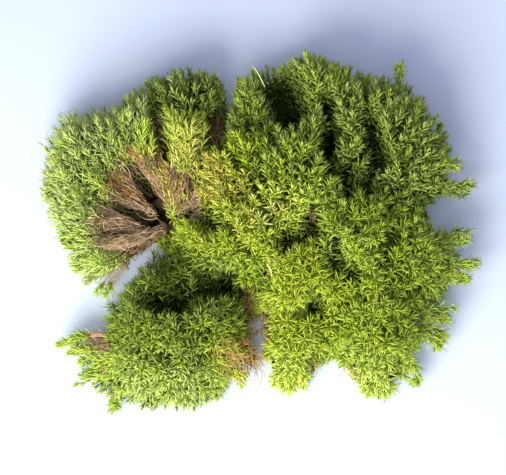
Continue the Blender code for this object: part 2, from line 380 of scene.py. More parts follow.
def modelLowLeaf():  # a simpler one for the older leaves further down
    startForm(bpy.ops.mesh.primitive_cone_add, 1.0, vertices=3, radius1=0.5, radius2=0.0,
              end_fill_type="TRIFAN")
    selectWhere(isRim)
    bpy.ops.transform.translate(value=(0.0, leafShape["lowWide"], 0.0))
    shapeKeel()
    return takeShape(bpy.context.object)


def modelStem(lengths):  # a three-sided tube of radius one, from the origin to one
    startForm(bpy.ops.mesh.primitive_cylinder_add, 1.0 / lengths, vertices=3, radius=1.0,
              end_fill_type="NGON")
    bpy.ops.mesh.select_mode(type="FACE")
    for i in range(lengths - 1):
        shape = bmesh.from_edit_mesh(bpy.context.object.data)
        for face in shape.faces:
            face.select = face.normal.y > 0.9
        bmesh.update_edit_mesh(bpy.context.object.data)
        bpy.ops.mesh.extrude_region_move(TRANSFORM_OT_translate={"value": (0.0, 1.0 / lengths, 0.0)})
    bpy.ops.mesh.select_mode(type="VERT")
    bpy.ops.object.mode_set(mode="OBJECT")
    return takeShape(bpy.context.object)


topLeaf = modelTopLeaf()
lowLeaf = modelLowLeaf()
thinStem = modelStem(4)
hairStem = modelStem(6)
print("leaf and stem modelled")

# the tufts, with the tone and the paleness of each one's leaves; the low tones at the back are partly their
# own deeper green and partly painted shade

tufts = {
    "lower_left_tuft": {"tone": 0.285, "pale": 0.30},
    "front_tuft": {"tone": 0.42, "pale": 0.40},
    "front_inner_tuft": {"tone": 0.42, "pale": 0.40},
    "front_right_tuft": {"tone": 0.37, "pale": 0.44},
    "right_tuft": {"tone": 0.34, "pale": 0.50},
    "middle_right_tuft": {"tone": 0.34, "pale": 0.46},
    "right_back_tuft": {"tone": 0.26, "pale": 0.50},
    "back_right_tuft": {"tone": 0.25, "pale": 0.50},
    "middle_tuft": {"tone": 0.33, "pale": 0.50},
    "back_tuft": {"tone": 0.31, "pale": 0.50},
    "centre_back_tuft": {"tone": 0.34, "pale": 0.60},
    "centre_left_tuft": {"tone": 0.40, "pale": 0.42},
    "centre_tuft": {"tone": 0.42, "pale": 0.42},
    "back_left_tuft": {"tone": 0.22, "pale": 0.60},
}
fans = {
    "left_front_tuft": {"tone": 0.30, "pale": 0.80},
    "left_tuft": {"tone": 0.27, "pale": 1.20},
    "left_outer_tuft": {"tone": 0.27, "pale": 1.25},
    "left_back_tuft": {"tone": 0.28, "pale": 0.80},
    "left_inner_tuft": {"tone": 0.44, "pale": 0.12},
}
tuftNames = list(tufts) + list(fans)

# how the shoots of a tuft stand and what their leaves are like, from the tip of the shoot down
uprightLook = {
    "spacing": 0.0026, "backSpacing": 0.0031, "topLeaves": 15, "lowLeaves": 10, "edgeLeaves": 12,
    "step": 0.00026, "stretch": 0.050, "length": 0.0029, "width": 0.00082,
    "budAngle": 8.0, "openAngle": 43.0, "angleNoise": 11.0, "opening": 0.0014, "budSize": 0.55,
    "fullSize": 0.0017, "curl": 0.10, "budCurl": 0.04, "ageFrom": 0.0032, "ageOver": 0.0110,
    "footPale": 0.10, "oldTone": 0.0, "oldRange": 0.06, "oldShare": 0.45, "shaded": 0.20,
    "short": 0.0006, "backShort": 0.0012, "uneven": 0.0012, "wander": 0.24, "edgeFrom": 0.55,
    "stemFoot": 0.00024, "stemTip": 0.00012, "stemTone": 0.5,
    # towards the front the leaves are longer and narrower and open further
    "frontOpen": 1.25, "backOpen": 0.78, "frontLong": 1.16, "frontNarrow": 0.74, "frontCurl": 2.4,
    "frontTo": -0.020, "backFrom": 0.025,
    # away from the middle and towards the back the shoots lean
    "lean": 0.55, "leanRise": 1.4, "mostLean": 1.2, "bigReach": 0.034, "domeReach": 0.018,
    "leanBack": 0.62, "leastBack": 0.25, "leanFrom": -0.030, "leanOver": 0.055,
    "follow": 0.75, "sunkFollow": 0.6, "rise": 0.45, "sunkRise": 0.5,
    "hold": 0.55, "lowHold": 0.25, "rootNoise": 0.0006, "rootHeight": 0.0004,
    "shortFrom": 0.020, "shortOver": 0.015,
}
fanLook = {
    "spacing": 0.0022, "topLeaves": 14, "lowLeaves": 9, "edgeLeaves": 9,
    "step": 0.00028, "stretch": 0.05, "length": 0.0034, "width": 0.00058,
    "budAngle": 7.0, "openAngle": 33.0, "angleNoise": 13.0, "opening": 0.0016, "budSize": 0.65,
    "fullSize": 0.0020, "curl": 0.10, "budCurl": 0.02, "ageFrom": 0.0045, "ageOver": 0.0120,
    "footPale": 0.40, "oldTone": 0.72, "oldRange": 0.12, "oldShare": 0.0, "shaded": 0.15,
    "short": 0.0012, "uneven": 0.0012, "wander": 0.30, "edgeFrom": 0.45,
    "stemFoot": 0.00022, "stemTip": 0.00012, "stemTone": 0.6,
    "follow": 0.60, "rise": 0.35, "flat": 0.60, "leanBack": 0.38,
    "rootFrom": 0.45, "rootOver": 0.1, "rootHeight": 0.35,
}


def unit(vectors):
    return vectors / np.maximum(np.linalg.norm(vectors, axis=-1, keepdims=True), 1e-12)


def solidOf(name):
    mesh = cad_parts[name].data
    mesh.calc_loop_triangles()
    corners = np.array([corner.co[:] for corner in mesh.vertices])
    triangles = np.array([triangle.vertices[:] for triangle in mesh.loop_triangles])
    return corners, triangles


def solidsOf(names):
    corners, triangles, owner, offset = [], [], [], 0
    for name in names:
        points, faces = solidOf(name)
        corners.append(points)
        triangles.append(faces + offset)
        owner += [name] * len(faces)
        offset += len(points)
    return np.concatenate(corners), np.concatenate(triangles), owner


def treeOf(corners, triangles):
    return BVHTree.FromPolygons(corners.tolist(), triangles.tolist())


skyHeight = 0.05  # above every tuft


def dropOn(tree, x, y):  # the highest spot of a solid at a place on the floor plan
    return tree.ray_cast(Vector((x, y, skyHeight)), Vector((0.0, 0.0, -1.0)))


def addMesh(name, corners, faces):
    mesh = bpy.data.meshes.new(name)
    mesh.from_pydata(corners.tolist(), [], faces.tolist())
    item = bpy.data.objects.new(name, mesh)
    bpy.context.scene.collection.objects.link(item)
    deselectAll()
    bpy.context.view_layer.objects.active = item
    item.select_set(True)
    bpy.ops.object.mode_set(mode="EDIT")
    bpy.ops.mesh.select_all(action="SELECT")
    bpy.ops.mesh.remove_doubles(threshold=0.00001)
    bpy.ops.mesh.normals_make_consistent(inside=False)
    bpy.ops.object.mode_set(mode="OBJECT")
    return item


# the torn hollow on the left: how far it reaches from the hub, by direction in degrees
hub = np.array([-0.0239, 0.0040])
hollowRim = (
    (-40, 0.002), (-10, 0.0055), (20, 0.0082), (45, 0.0085), (60, 0.0090), (76, 0.0125), (97, 0.0140),
    (106, 0.0175), (117, 0.0200), (130, 0.0212), (142, 0.0208), (157, 0.0196), (169, 0.0200),
    (181, 0.0205), (187, 0.0222), (195, 0.0236), (203, 0.0220), (211, 0.0188), (218, 0.0158),
    (222, 0.0110), (226, 0.0070), (229, 0.002),
)
# beyond this direction there are only brown stems, no green
notchEdge = {"from": 203.0, "reach": 0.0225, "tone": 0.93}


def rimAt(angle):
    return np.interp(angle, [stop[0] for stop in hollowRim], [stop[1] for stop in hollowRim], 0.0, 0.0)


def hubReach(points):
    away = points[:, :2] - hub
    angle = (np.degrees(np.arctan2(away[:, 1], away[:, 0])) + 60) % 360 - 60  # from -60 to 300 degrees
    return angle, np.linalg.norm(away, axis=1), rimAt(angle)


def inHollow(points, part):
    angle, reach, rim = hubReach(points.reshape(-1, 3))
    return (reach < rim * part).reshape(points.shape[:-1])


def gapTo(points, start, end):  # how far points lie from a line on the floor plan
    start, end = np.array(start), np.array(end)
    along = end - start
    part = np.clip((points[:, :2] - start) @ along / (along @ along), 0, 1)
    return np.linalg.norm(points[:, :2] - start - part[:, None] * along, axis=1)


# places at the edge that the tips keep clear of: from, to, half the width
trims = (
    ((0.0138, -0.0392), (0.0208, -0.0388), 0.0040),
    ((0.0366, -0.0388), (0.0366, -0.0430), 0.0028),
    ((0.0232, -0.0428), (0.0258, -0.0444), 0.0014),
    ((0.0002, -0.0344), (0.0002, -0.0388), 0.0017),
    ((-0.0268, -0.0502), (-0.0212, -0.0502), 0.0020),
    ((-0.0396, -0.0096), (-0.0332, -0.0046), 0.0024),
    ((0.0420, -0.0360), (0.0430, -0.0320), 0.0018),
    ((-0.0452, -0.0126), (-0.0406, -0.0082), 0.0036),
)


def trimShare(points, around=0.0):  # one well inside a trimmed place, nothing outside it
    share = np.zeros(len(points))
    for start, end, half in trims:
        share = np.maximum(share, np.clip(2 - 2 * gapTo(points, start, end) / (half + around), 0, 1))
    return share


# valleys between the shoots: from, to, half the width, and the part of the height that is gone
valleys = (
    ((-0.0305, -0.0190), (-0.0225, -0.0196), 0.0056, 0.66),
    ((-0.0225, -0.0170), (-0.0110, -0.0150), 0.0050, 0.56),
    ((0.0034, 0.0404), (0.0062, 0.0330), 0.0082, 0.94),
    ((0.0166, 0.0346), (0.0172, 0.0290), 0.0032, 0.76),
    ((0.0176, 0.0262), (0.0166, 0.0206), 0.0036, 0.80),
    ((0.0185, 0.0182), (0.0180, 0.0158), 0.0030, 0.74),
    ((0.0280, 0.0316), (0.0292, 0.0262), 0.0034, 0.78),
    ((0.0300, 0.0250), (0.0308, 0.0196), 0.0040, 0.84),
    ((0.0216, 0.0174), (0.0224, 0.0116), 0.0036, 0.82),
    ((0.0220, 0.0104), (0.0224, 0.0088), 0.0026, 0.68),
    ((0.0274, 0.0154), (0.0278, 0.0114), 0.0030, 0.74),
    ((0.0182, -0.0066), (0.0188, -0.0106), 0.0032, 0.80),
    ((0.0225, -0.0120), (0.0240, -0.0130), 0.0024, 0.60),
    ((0.0250, -0.0190), (0.0256, -0.0200), 0.0022, 0.55),
    ((0.0130, -0.0200), (0.0134, -0.0226), 0.0020, 0.55),
    ((-0.0125, 0.0340), (-0.0125, 0.0235), 0.0034, 0.78),
    ((0.0040, -0.0046), (0.0098, -0.0014), 0.0036, 0.88),
    ((0.0122, 0.0040), (0.0126, -0.0012), 0.0027, 0.80),
    ((-0.0302, 0.0330), (-0.0275, 0.0232), 0.0026, 0.78),
    ((-0.0012, -0.0100), (-0.0008, -0.0150), 0.0020, 0.50),
    ((-0.0200, 0.0070), (-0.0160, 0.0010), 0.0062, 0.50),
    ((-0.0292, -0.0358), (-0.0256, -0.0362), 0.0024, 0.55),
)


def valleyDepth(points):
    gone = np.zeros(len(points))
    for start, end, half, depth in valleys:
        near = np.clip(gapTo(points, start, end) / half, 0, 1)
        gone = np.maximum(gone, depth * (1 - near ** 2) ** 2)
    return gone


# the height that the tips of the shoots reach, on a grid, with the narrow gaps bridged

canopy = {"step": 0.0006, "margin": 0.004, "bridge": 0.0050, "soften": 2, "gap": 0.0009, "covered": 0.001,
          "slopeSoften": 8, "raised": 0.0015}
# groups of tufts with open floor between them
groups = (
    [name for name in tufts if name not in ("lower_left_tuft", "back_left_tuft")],
    ["back_left_tuft"] + list(fans),
    ["lower_left_tuft"],
)
# zones where two groups grow into each other: lowest and highest corner
joins = (
    ((-0.0240, -0.0014), (-0.0090, 0.0206)),
    ((-0.0340, -0.0144), (-0.0020, -0.0044)),
    ((0.0060, -0.0310), (0.0260, -0.0060)),
)


def spreadGrid(height, reach, pick):  # the highest or lowest height within a reach
    cells = int(round(reach / canopy["step"]))
    wide = np.pad(height, cells, mode="edge")
    best = height.copy()
    rows, columns = height.shape
    for i in range(-cells, cells + 1):
        for j in range(-cells, cells + 1):
            if i * i + j * j <= cells * cells:
                best = pick(best, wide[cells + i:cells + i + rows, cells + j:cells + j + columns])
    return best


def bridgeGaps(height):
    return spreadGrid(spreadGrid(height, canopy["bridge"], np.maximum), canopy["bridge"], np.minimum)


def blurGrid(height, times):
    for i in range(times):
        wide = np.pad(height, 1, mode="edge")
        height = (wide[:-2, 1:-1] + wide[2:, 1:-1] + wide[1:-1, :-2] + wide[1:-1, 2:] + 2 * height) / 6
    return height


def canopyGrid():
    low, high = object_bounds()
    step, margin = canopy["step"], canopy["margin"]
    xs = np.arange(low[0] - margin, high[0] + margin, step)
    ys = np.arange(low[1] - margin, high[1] + margin, step)
    total = np.zeros((len(xs), len(ys)))
    for names in groups:
        tree = treeOf(*solidsOf(names)[:2])
        height = np.zeros_like(total)
        for i, x in enumerate(xs):
            for j, y in enumerate(ys):
                hit = dropOn(tree, x, y)[0]
                height[i, j] = hit.z if hit else 0.0
        covered = spreadGrid(height, canopy["gap"], np.maximum) > canopy["covered"]
        total = np.maximum(total, np.maximum(bridgeGaps(height), height) * covered)
    closed = bridgeGaps(total)
    x, y = np.meshgrid(xs, ys, indexing="ij")
    for start, stop in joins:
        inside = (x > start[0]) & (x < stop[0]) & (y > start[1]) & (y < stop[1])
        total = np.where(inside, closed, total)
    total = blurGrid(total, canopy["soften"])
    gone = valleyDepth(np.stack([x.ravel(), y.ravel()], 1)).reshape(total.shape)
    return xs, ys, total * (1 - gone)


def modelCanopy():
    xs, ys, height = canopyGrid()
    rows, columns = height.shape
    corners = np.stack([np.repeat(xs, columns), np.tile(ys, rows), height.ravel()], 1)
    slopeX, slopeY = np.gradient(blurGrid(height, canopy["slopeSoften"]), canopy["step"])
    normals = unit(np.stack([-slopeX.ravel(), -slopeY.ravel(), np.ones(rows * columns)], 1))
    order = np.arange(rows * columns).reshape(rows, columns)
    a, b, c, d = order[:-1, :-1], order[1:, :-1], order[1:, 1:], order[:-1, 1:]
    triangles = np.concatenate([
        np.stack([a.ravel(), b.ravel(), c.ravel()], 1), np.stack([a.ravel(), c.ravel(), d.ravel()], 1)])
    raised = (corners[triangles, 2] > canopy["raised"]).any(1)
    return corners, normals, triangles[raised]


# where the shoots stand
standing = {
    "sampling": 10, "lowest": 0.0025, "overhang": -0.35, "upright": 0.1, "bare": 0.80, "shallow": 0.1,
    "ragged": (0.80, 1.04), "fanRim": 0.9, "offSolid": 0.002, "rise": 0.9, "hollowHeight": 0.0022,
    # the spacing is wider in the shaded corner at the back right, and swells a little everywhere
    "shadeFrom": 0.002, "shadeDeep": 0.014, "shadeWide": 0.012, "swell": 0.15, "swellX": 710, "swellY": 830,
}
# rows of low shoots by tuft: the row's two ends, how many, and the way they lean
lowTips = {
    "centre_back_tuft": (
        ((-0.0092, 0.0352, 0.0090), (-0.0090, 0.0300, 0.0120), 3, (-0.3, 0.4)),
        ((-0.0104, 0.0280, 0.0110), (-0.0100, 0.0262, 0.0115), 2, (-0.4, 0.4)),
        ((-0.0070, 0.0430, 0.0115), (-0.0084, 0.0384, 0.0100), 4, (-0.5, 0.4)),
        ((-0.0036, 0.0446, 0.0120), (-0.0008, 0.0436, 0.0110), 3, (0.0, 0.7)),
    ),
    "back_left_tuft": (
        ((-0.0118, 0.0350, 0.0085), (-0.0114, 0.0322, 0.0095), 2, (0.4, 0.5)),
        ((-0.0142, 0.0436, 0.0140), (-0.0116, 0.0376, 0.0115), 5, (0.5, 0.5)),
        ((-0.0134, 0.0428, 0.0090), (-0.0112, 0.0380, 0.0080), 4, (0.5, 0.5)),
    ),
    "left_inner_tuft": (
        ((-0.0112, 0.0262, 0.0110), (-0.0122, 0.0290, 0.0110), 2, (0.3, 0.5)),
    ),
    "centre_tuft": (
        ((-0.0296, -0.0018, 0.0085), (-0.0222, -0.0014, 0.0105), 5, (-0.4, 0.0)),
        ((-0.0292, -0.0040, 0.0090), (-0.0240, -0.0034, 0.0090), 4, (-0.4, -0.2)),
        ((-0.0306, -0.0010, 0.0080), (-0.0290, -0.0026, 0.0085), 3, (-0.5, 0.0)),
    ),
    "lower_left_tuft": (
        ((-0.0294, -0.0062, 0.0080), (-0.0262, -0.0046, 0.0085), 3, (-0.2, 0.5)),
        ((-0.0434, -0.0228, 0.0055), (-0.0428, -0.0190, 0.0055), 3, (-0.8, 0.1)),
        ((-0.0282, -0.0068, 0.0060), (-0.0260, -0.0052, 0.0060), 3, (-0.2, 0.4)),
        ((-0.0480, -0.0410, 0.0035), (-0.0422, -0.0446, 0.0035), 6, (-0.7, -0.6)),
        ((-0.0395, -0.0454, 0.0035), (-0.0335, -0.0470, 0.0035), 5, (-0.2, -0.9)),
        ((-0.0205, -0.0460, 0.0035), (-0.0150, -0.0456, 0.0035), 3, (0.2, -0.9)),
        ((-0.0148, -0.0454, 0.0035), (-0.0094, -0.0422, 0.0040), 4, (0.4, -0.8)),
        ((-0.0404, -0.0162, 0.0055), (-0.0384, -0.0142, 0.0055), 3, (-0.6, 0.5)),
    ),
    "left_outer_tuft": (
        ((-0.0620, 0.0250, 0.0088), (-0.0566, 0.0326, 0.0088), 7, (-0.6, 0.5)),
        ((-0.0552, 0.0334, 0.0095), (-0.0484, 0.0358, 0.0095), 6, (-0.4, 0.7)),
    ),
    "left_back_tuft": (
        ((-0.0388, 0.0394, 0.0110), (-0.0322, 0.0426, 0.0110), 4, (-0.3, 0.7)),
        ((-0.0500, 0.0335, 0.0090), (-0.0340, 0.0420, 0.0100), 7, (-0.4, 0.7)),
    ),
    "back_tuft": (
        ((0.0006, 0.0450, 0.0115), (0.0062, 0.0466, 0.0130), 5, (-0.1, 0.6)),
        ((0.0004, 0.0408, 0.0090), (0.0046, 0.0424, 0.0100), 4, (-0.1, 0.6)),
    ),
    "back_right_tuft": (
        ((0.0212, 0.0450, 0.0140), (0.0285, 0.0424, 0.0150), 5, (0.2, 0.7)),
    ),
    "right_back_tuft": (
        ((0.0322, 0.0417, 0.0140), (0.0362, 0.0400, 0.0130), 4, (0.2, 0.7)),
        ((0.0384, 0.0400, 0.0130), (0.0428, 0.0356, 0.0130), 5, (0.5, 0.6)),
        ((0.0500, 0.0172, 0.0100), (0.0512, 0.0140, 0.0100), 3, (0.8, 0.3)),
        ((0.0478, 0.0296, 0.0110), (0.0500, 0.0215, 0.0110), 4, (0.8, 0.3)),
    ),
    "right_tuft": (
        ((0.0520, -0.0024, 0.0080), (0.0526, -0.0072, 0.0080), 4, (0.9, -0.1)),
        ((0.0464, -0.0178, 0.0070), (0.0500, -0.0150, 0.0070), 4, (0.8, -0.4)),
    ),
    "front_inner_tuft": (
        ((-0.0036, -0.0118, 0.0120), (-0.0026, -0.0205, 0.0090), 6, (-0.8, -0.3)),
    ),
    "front_tuft": (
        ((0.0112, -0.0352, 0.0036), (0.0152, -0.0344, 0.0036), 4, (0.1, -0.8)),
        ((0.0024, -0.0326, 0.0060), (0.0028, -0.0372, 0.0045), 3, (-0.7, -0.4)),
        ((0.0104, -0.0370, 0.0050), (0.0116, -0.0360, 0.0050), 2, (0.5, -0.5)),
        ((0.0114, -0.0342, 0.0075), (0.0152, -0.0334, 0.0075), 3, (0.1, -0.5)),
    ),
    "front_right_tuft": (
        ((0.0164, -0.0344, 0.0036), (0.0230, -0.0352, 0.0036), 5, (-0.1, -0.8)),
        ((0.0224, -0.0374, 0.0045), (0.0240, -0.0394, 0.0045), 3, (-0.5, -0.5)),
        ((0.0168, -0.0334, 0.0075), (0.0222, -0.0342, 0.0075), 4, (-0.1, -0.5)),
        ((0.0160, -0.0318, 0.0110), (0.0222, -0.0322, 0.0110), 3, (-0.1, -0.4)),
    ),
}
# single shoots inside the hollow: place on the floor plan and the way they lean
hollowTips = (
    ((-0.0266, 0.0120), (0.3, -0.1)), ((-0.0252, 0.0098), (0.4, -0.4)), ((-0.0240, 0.0078), (0.5, -0.5)),
    ((-0.0258, 0.0076), (0.2, -0.5)), ((-0.0274, 0.0140), (0.0, 0.3)), ((-0.0184, 0.0126), (0.3, 0.5)),
    ((-0.0166, 0.0112), (0.5, 0.1)), ((-0.0172, 0.0092), (0.5, -0.2)), ((-0.0218, 0.0150), (0.1, 0.6)),
    ((-0.0204, 0.0136), (0.3, 0.4)), ((-0.0238, 0.0146), (-0.1, 0.5)), ((-0.0292, 0.0172), (-0.3, 0.4)),
    ((-0.0252, 0.0164), (-0.2, 0.6)), ((-0.0226, 0.0112), (0.2, 0.1)), ((-0.0194, 0.0160), (0.3, 0.5)),
)


def samplePoints():  # many more points on the canopy than there will be shoots
    corners, normals, triangles = modelCanopy()
    a, b, c = (corners[triangles[:, i]] for i in range(3))
    area = np.linalg.norm(np.cross(b - a, c - a), axis=1) / 2
    number = int(area.sum() / fanLook["spacing"] ** 2 * standing["sampling"])
    picked = triangles[dice.choice(len(area), number, p=area / area.sum())]
    s, t = dice.random((2, number))
    flip = s + t > 1
    s, t = np.where(flip, 1 - s, s), np.where(flip, 1 - t, t)
    weights = np.stack([1 - s - t, s, t], 1)[..., None]
    return (corners[picked] * weights).sum(1), unit((normals[picked] * weights).sum(1))


def tipSpacing(points, isFan):
    x, y = points[:, 0] - standing["shadeFrom"], points[:, 1] - standing["shadeFrom"]
    shade = np.clip(y / standing["shadeDeep"], 0, 1) * np.clip(x / standing["shadeWide"], 0, 1)
    spacing = uprightLook["spacing"] + (uprightLook["backSpacing"] - uprightLook["spacing"]) * shade
    spacing = np.where(isFan, fanLook["spacing"], spacing)
    swell = np.sin(points[:, 0] * standing["swellX"]) * np.sin(points[:, 1] * standing["swellY"])
    return spacing * (1 + standing["swell"] * swell)


def thinOut(points, keep, spacing):  # leaves no two points nearer than the spacing
    places = (points // uprightLook["backSpacing"]).astype(int)
    around = [(i, j, k) for i in (-1, 0, 1) for j in (-1, 0, 1) for k in (-1, 0, 1)]
    cells, chosen = {}, []
    for i in np.nonzero(keep)[0]:
        x, y, z = places[i]
        near = [n for dx, dy, dz in around for n in cells.get((x + dx, y + dy, z + dz), ())]
        if near and (np.sum((points[near] - points[i]) ** 2, axis=1) < spacing[i] ** 2).any():
            continue
        cells.setdefault((x, y, z), []).append(i)
        chosen.append(i)
    return chosen


def placedTips(tree, owner):
    tips = []
    for place, lean in hollowTips:
        hit, normal, index, gap = dropOn(tree, *place)
        if hit:
            tips.append((hit + Vector((0.0, 0.0, standing["hollowHeight"])), lean, owner[index]))
    for name, rows in lowTips.items():
        for start, stop, count, lean in rows:
            for part in np.linspace(0.0, 1.0, count):
                tips.append((Vector(start).lerp(Vector(stop), part), lean, name))
    points, leans, names = zip(*tips)
    ways = [Vector((*lean, standing["rise"])).normalized() for lean in leans]
    return np.array(points), np.array(ways), np.array(names)


def scatterTips():
    points, ways = samplePoints()
    corners, triangles, owner = solidsOf(tuftNames)
    tree = treeOf(corners, triangles)
    nearest = [tree.find_nearest(Vector(point)) for point in points]
    owners = np.array([owner[index] for spot, normal, index, gap in nearest])
    gaps = np.array([gap for spot, normal, index, gap in nearest])
    isFan = np.isin(owners, list(fans))
    angle, reach, rim = hubReach(points)
    ragged = rim * dice.uniform(*standing["ragged"], len(points))
    gone = valleyDepth(points)
    keep = (points[:, 2] > standing["lowest"]) & (ways[:, 2] > standing["overhang"])
    keep &= (gone < standing["bare"]) & (trimShare(points) == 0)
    keep &= ~((reach < ragged) & ((ways[:, 2] > standing["upright"]) | ~isFan))
    keep &= ~(isFan & (reach < ragged * standing["fanRim"]))
    keep &= ~(isFan & (angle > notchEdge["from"]) & (reach < notchEdge["reach"]))
    keep &= ~(isFan & (gaps > standing["offSolid"]) & (gone < standing["shallow"]))
    chosen = thinOut(points, keep, tipSpacing(points, isFan))
    placed = placedTips(tree, owner)
    return [np.concatenate([some[chosen], more]) for some, more in zip((points, ways, owners), placed)]


tipPoints, tipWays, tipOwners = scatterTips()
print("tips of shoots", len(tipPoints))

# growing: arrays of shoots, then arrays of their leaves


def alongBend(shoots, part):  # point and heading at a part of the way from root to tip
    root, knee, tip = (shoots[key][:, None, :] for key in ("root", "knee", "tip"))
    part = part[..., None]
    point = (1 - part) ** 2 * root + 2 * part * (1 - part) * knee + part ** 2 * tip
    heading = 2 * (1 - part) * (knee - root) + 2 * part * (tip - knee)
    return point, unit(heading)


def lengthOf(shoots):
    parts = np.linspace(0.0, 1.0, 9)[None, :].repeat(len(shoots["tip"]), 0)
    points = alongBend(shoots, parts)[0]
    return np.linalg.norm(np.diff(points, axis=1), axis=-1).sum(1)


nearlyUpright = 0.9


def sideways(heading):  # two directions square to a heading
    helper = np.where(np.abs(heading[..., 2:3]) > nearlyUpright, [[[1.0, 0.0, 0.0]]], [[[0.0, 0.0, 1.0]]])
    first = unit(np.cross(heading, helper))
    return first, np.cross(heading, first)


# what the leaves and stems of all shoots have in common
growth = {
    "goldenAngle": math.radians(137.5),  # from each leaf to the next one down the stem
    "firstLeaf": 0.0002, "leafyPart": 0.94, "floorGap": 0.0002,
    "stepNoise": 0.3, "turnNoise": 0.2, "lengthNoise": 0.12, "widthNoise": 0.1, "budWidth": 0.6,
    "curlMiddle": 0.8, "curlNoise": 0.8, "toneNoise": 0.022, "toneAcross": 0.02,
    "oldFrom": 0.8, "witheredTone": 0.94, "witheredFoot": 0.85, "witheredTip": 0.75,
    "leastPale": 0.55, "paleRange": 0.7, "oldPale": 0.6, "paleRise": 1.6,
    "stemStop": 0.985, "stemToneAcross": 0.012, "stemPaleAcross": 0.05, "stemPaleAlong": 0.1,
    "stemPaleRange": (0.06, 0.98),
}


def growLeaves(shoots, look, form, first, count):
    number = len(shoots["tip"])
    if not number:
        return None
    order = (first + np.arange(count))[None, :]
    total = lengthOf(shoots)[:, None]
    down = growth["firstLeaf"] + look["step"] * order * (1 + look["stretch"] * order)
    down = down + dice.normal(0, growth["stepNoise"], (number, count)) * look["step"]
    down = np.clip(down, 0.0, total * growth["leafyPart"])
    point, heading = alongBend(shoots, 1 - down / total)
    one, two = sideways(heading)
    turn = shoots["turn"][:, None] + order * growth["goldenAngle"]
    turn = turn + dice.normal(0, growth["turnNoise"], (number, count))
    outward = one * np.cos(turn)[..., None] + two * np.sin(turn)[..., None]
    across = -one * np.sin(turn)[..., None] + two * np.cos(turn)[..., None]
    opened = 1 - np.exp(-down / look["opening"])
    openAngle = look["openAngle"] * shoots["open"][:, None]
    spread = np.radians(look["budAngle"] + (openAngle - look["budAngle"]) * opened)
    spread = spread + dice.normal(0, math.radians(look["angleNoise"]), spread.shape)
    along = heading * np.cos(spread)[..., None] + outward * np.sin(spread)[..., None]
    inner = heading * np.sin(spread)[..., None] - outward * np.cos(spread)[..., None]
    grown = look["budSize"] + (1 - look["budSize"]) * np.clip(down / look["fullSize"], 0, 1)
    length = look["length"] * shoots["size"][:, None] * grown
    length = length * dice.normal(1.0, growth["lengthNoise"], grown.shape)
    width = look["width"] * (growth["budWidth"] + (1 - growth["budWidth"]) * grown)
    width = width * dice.normal(1.0, growth["widthNoise"], grown.shape) * shoots["broad"][:, None]
    bent = dice.normal(growth["curlMiddle"], growth["curlNoise"], grown.shape)
    curl = look["curl"] * shoots["curl"][:, None] * bent * opened - look["budCurl"] * (1 - opened)
    x, y, z = (form["corners"][:, axis][None, None, :] for axis in range(3))
    places = (point[:, :, None, :] + (x * width[..., None])[..., None] * across[:, :, None, :]
              + (y * length[..., None])[..., None] * along[:, :, None, :]
              + (z * width[..., None] - curl[..., None] * length[..., None] * y ** 2)[..., None]
              * inner[:, :, None, :])
    age = np.clip((down - look["ageFrom"]) / look["ageOver"], 0, 1)
    # leaves further down are dimmed as painted shade; the oldest are brown of their own under the fans and
    # side shoots, and under the upright tufts a dim green that is painted shade too
    tone = shoots["tone"][:, None] + dice.normal(0, growth["toneNoise"], grown.shape)
    old = look["oldTone"] + look["oldShare"] * tone + look["oldRange"] * dice.random(grown.shape)
    tone = np.where(age > growth["oldFrom"], old, tone * (1 - look["shaded"] * age))
    withered = (inHollow(point, growth["witheredFoot"])
                & ~inHollow(shoots["tip"][:, None, :], growth["witheredTip"]))
    tone = np.where(withered, growth["witheredTone"], tone)
    bright = growth["leastPale"] + growth["paleRange"] * dice.random(grown.shape)
    pale = shoots["pale"][:, None] * bright * (1 - growth["oldPale"] * age)
    u = tone[..., None] + x * growth["toneAcross"]
    # towards the tip the leaf turns to the tip colour: its own paleness together with a painted highlight
    v = look["footPale"] + y ** growth["paleRise"] * pale[..., None]
    places[..., 2] = np.maximum(places[..., 2], growth["floorGap"])
    size = len(form["corners"])
    return {"form": form, "slot": leafSlot,
            "corners": places.reshape(-1, size, 3), "uv": np.stack([u, v], -1).reshape(-1, size, 2)}


def growStems(shoots, form, footRadius, tipRadius, tone):
    x, y, z = form["corners"].T
    part = np.broadcast_to(y[None, :] * growth["stemStop"], (len(shoots["tip"]), len(y)))
    point, heading = alongBend(shoots, part)
    first, second = sideways(heading)
    radius = (footRadius + (tipRadius - footRadius) * part) * shoots["girth"][:, None]
    places = point + first * (x * radius)[..., None] + second * (z * radius)[..., None]
    places[..., 2] = np.maximum(places[..., 2], growth["floorGap"])
    u = tone + shoots["stemTone"][:, None] + x[None, :] * growth["stemToneAcross"]
    pale = shoots["stemPale"][:, None] + z[None, :] * growth["stemPaleAcross"]
    v = np.clip(pale + part * growth["stemPaleAlong"], *growth["stemPaleRange"])
    return {"form": form, "slot": stemSlot, "corners": places, "uv": np.stack([u, v], -1)}


uvRange = (0.002, 0.998)


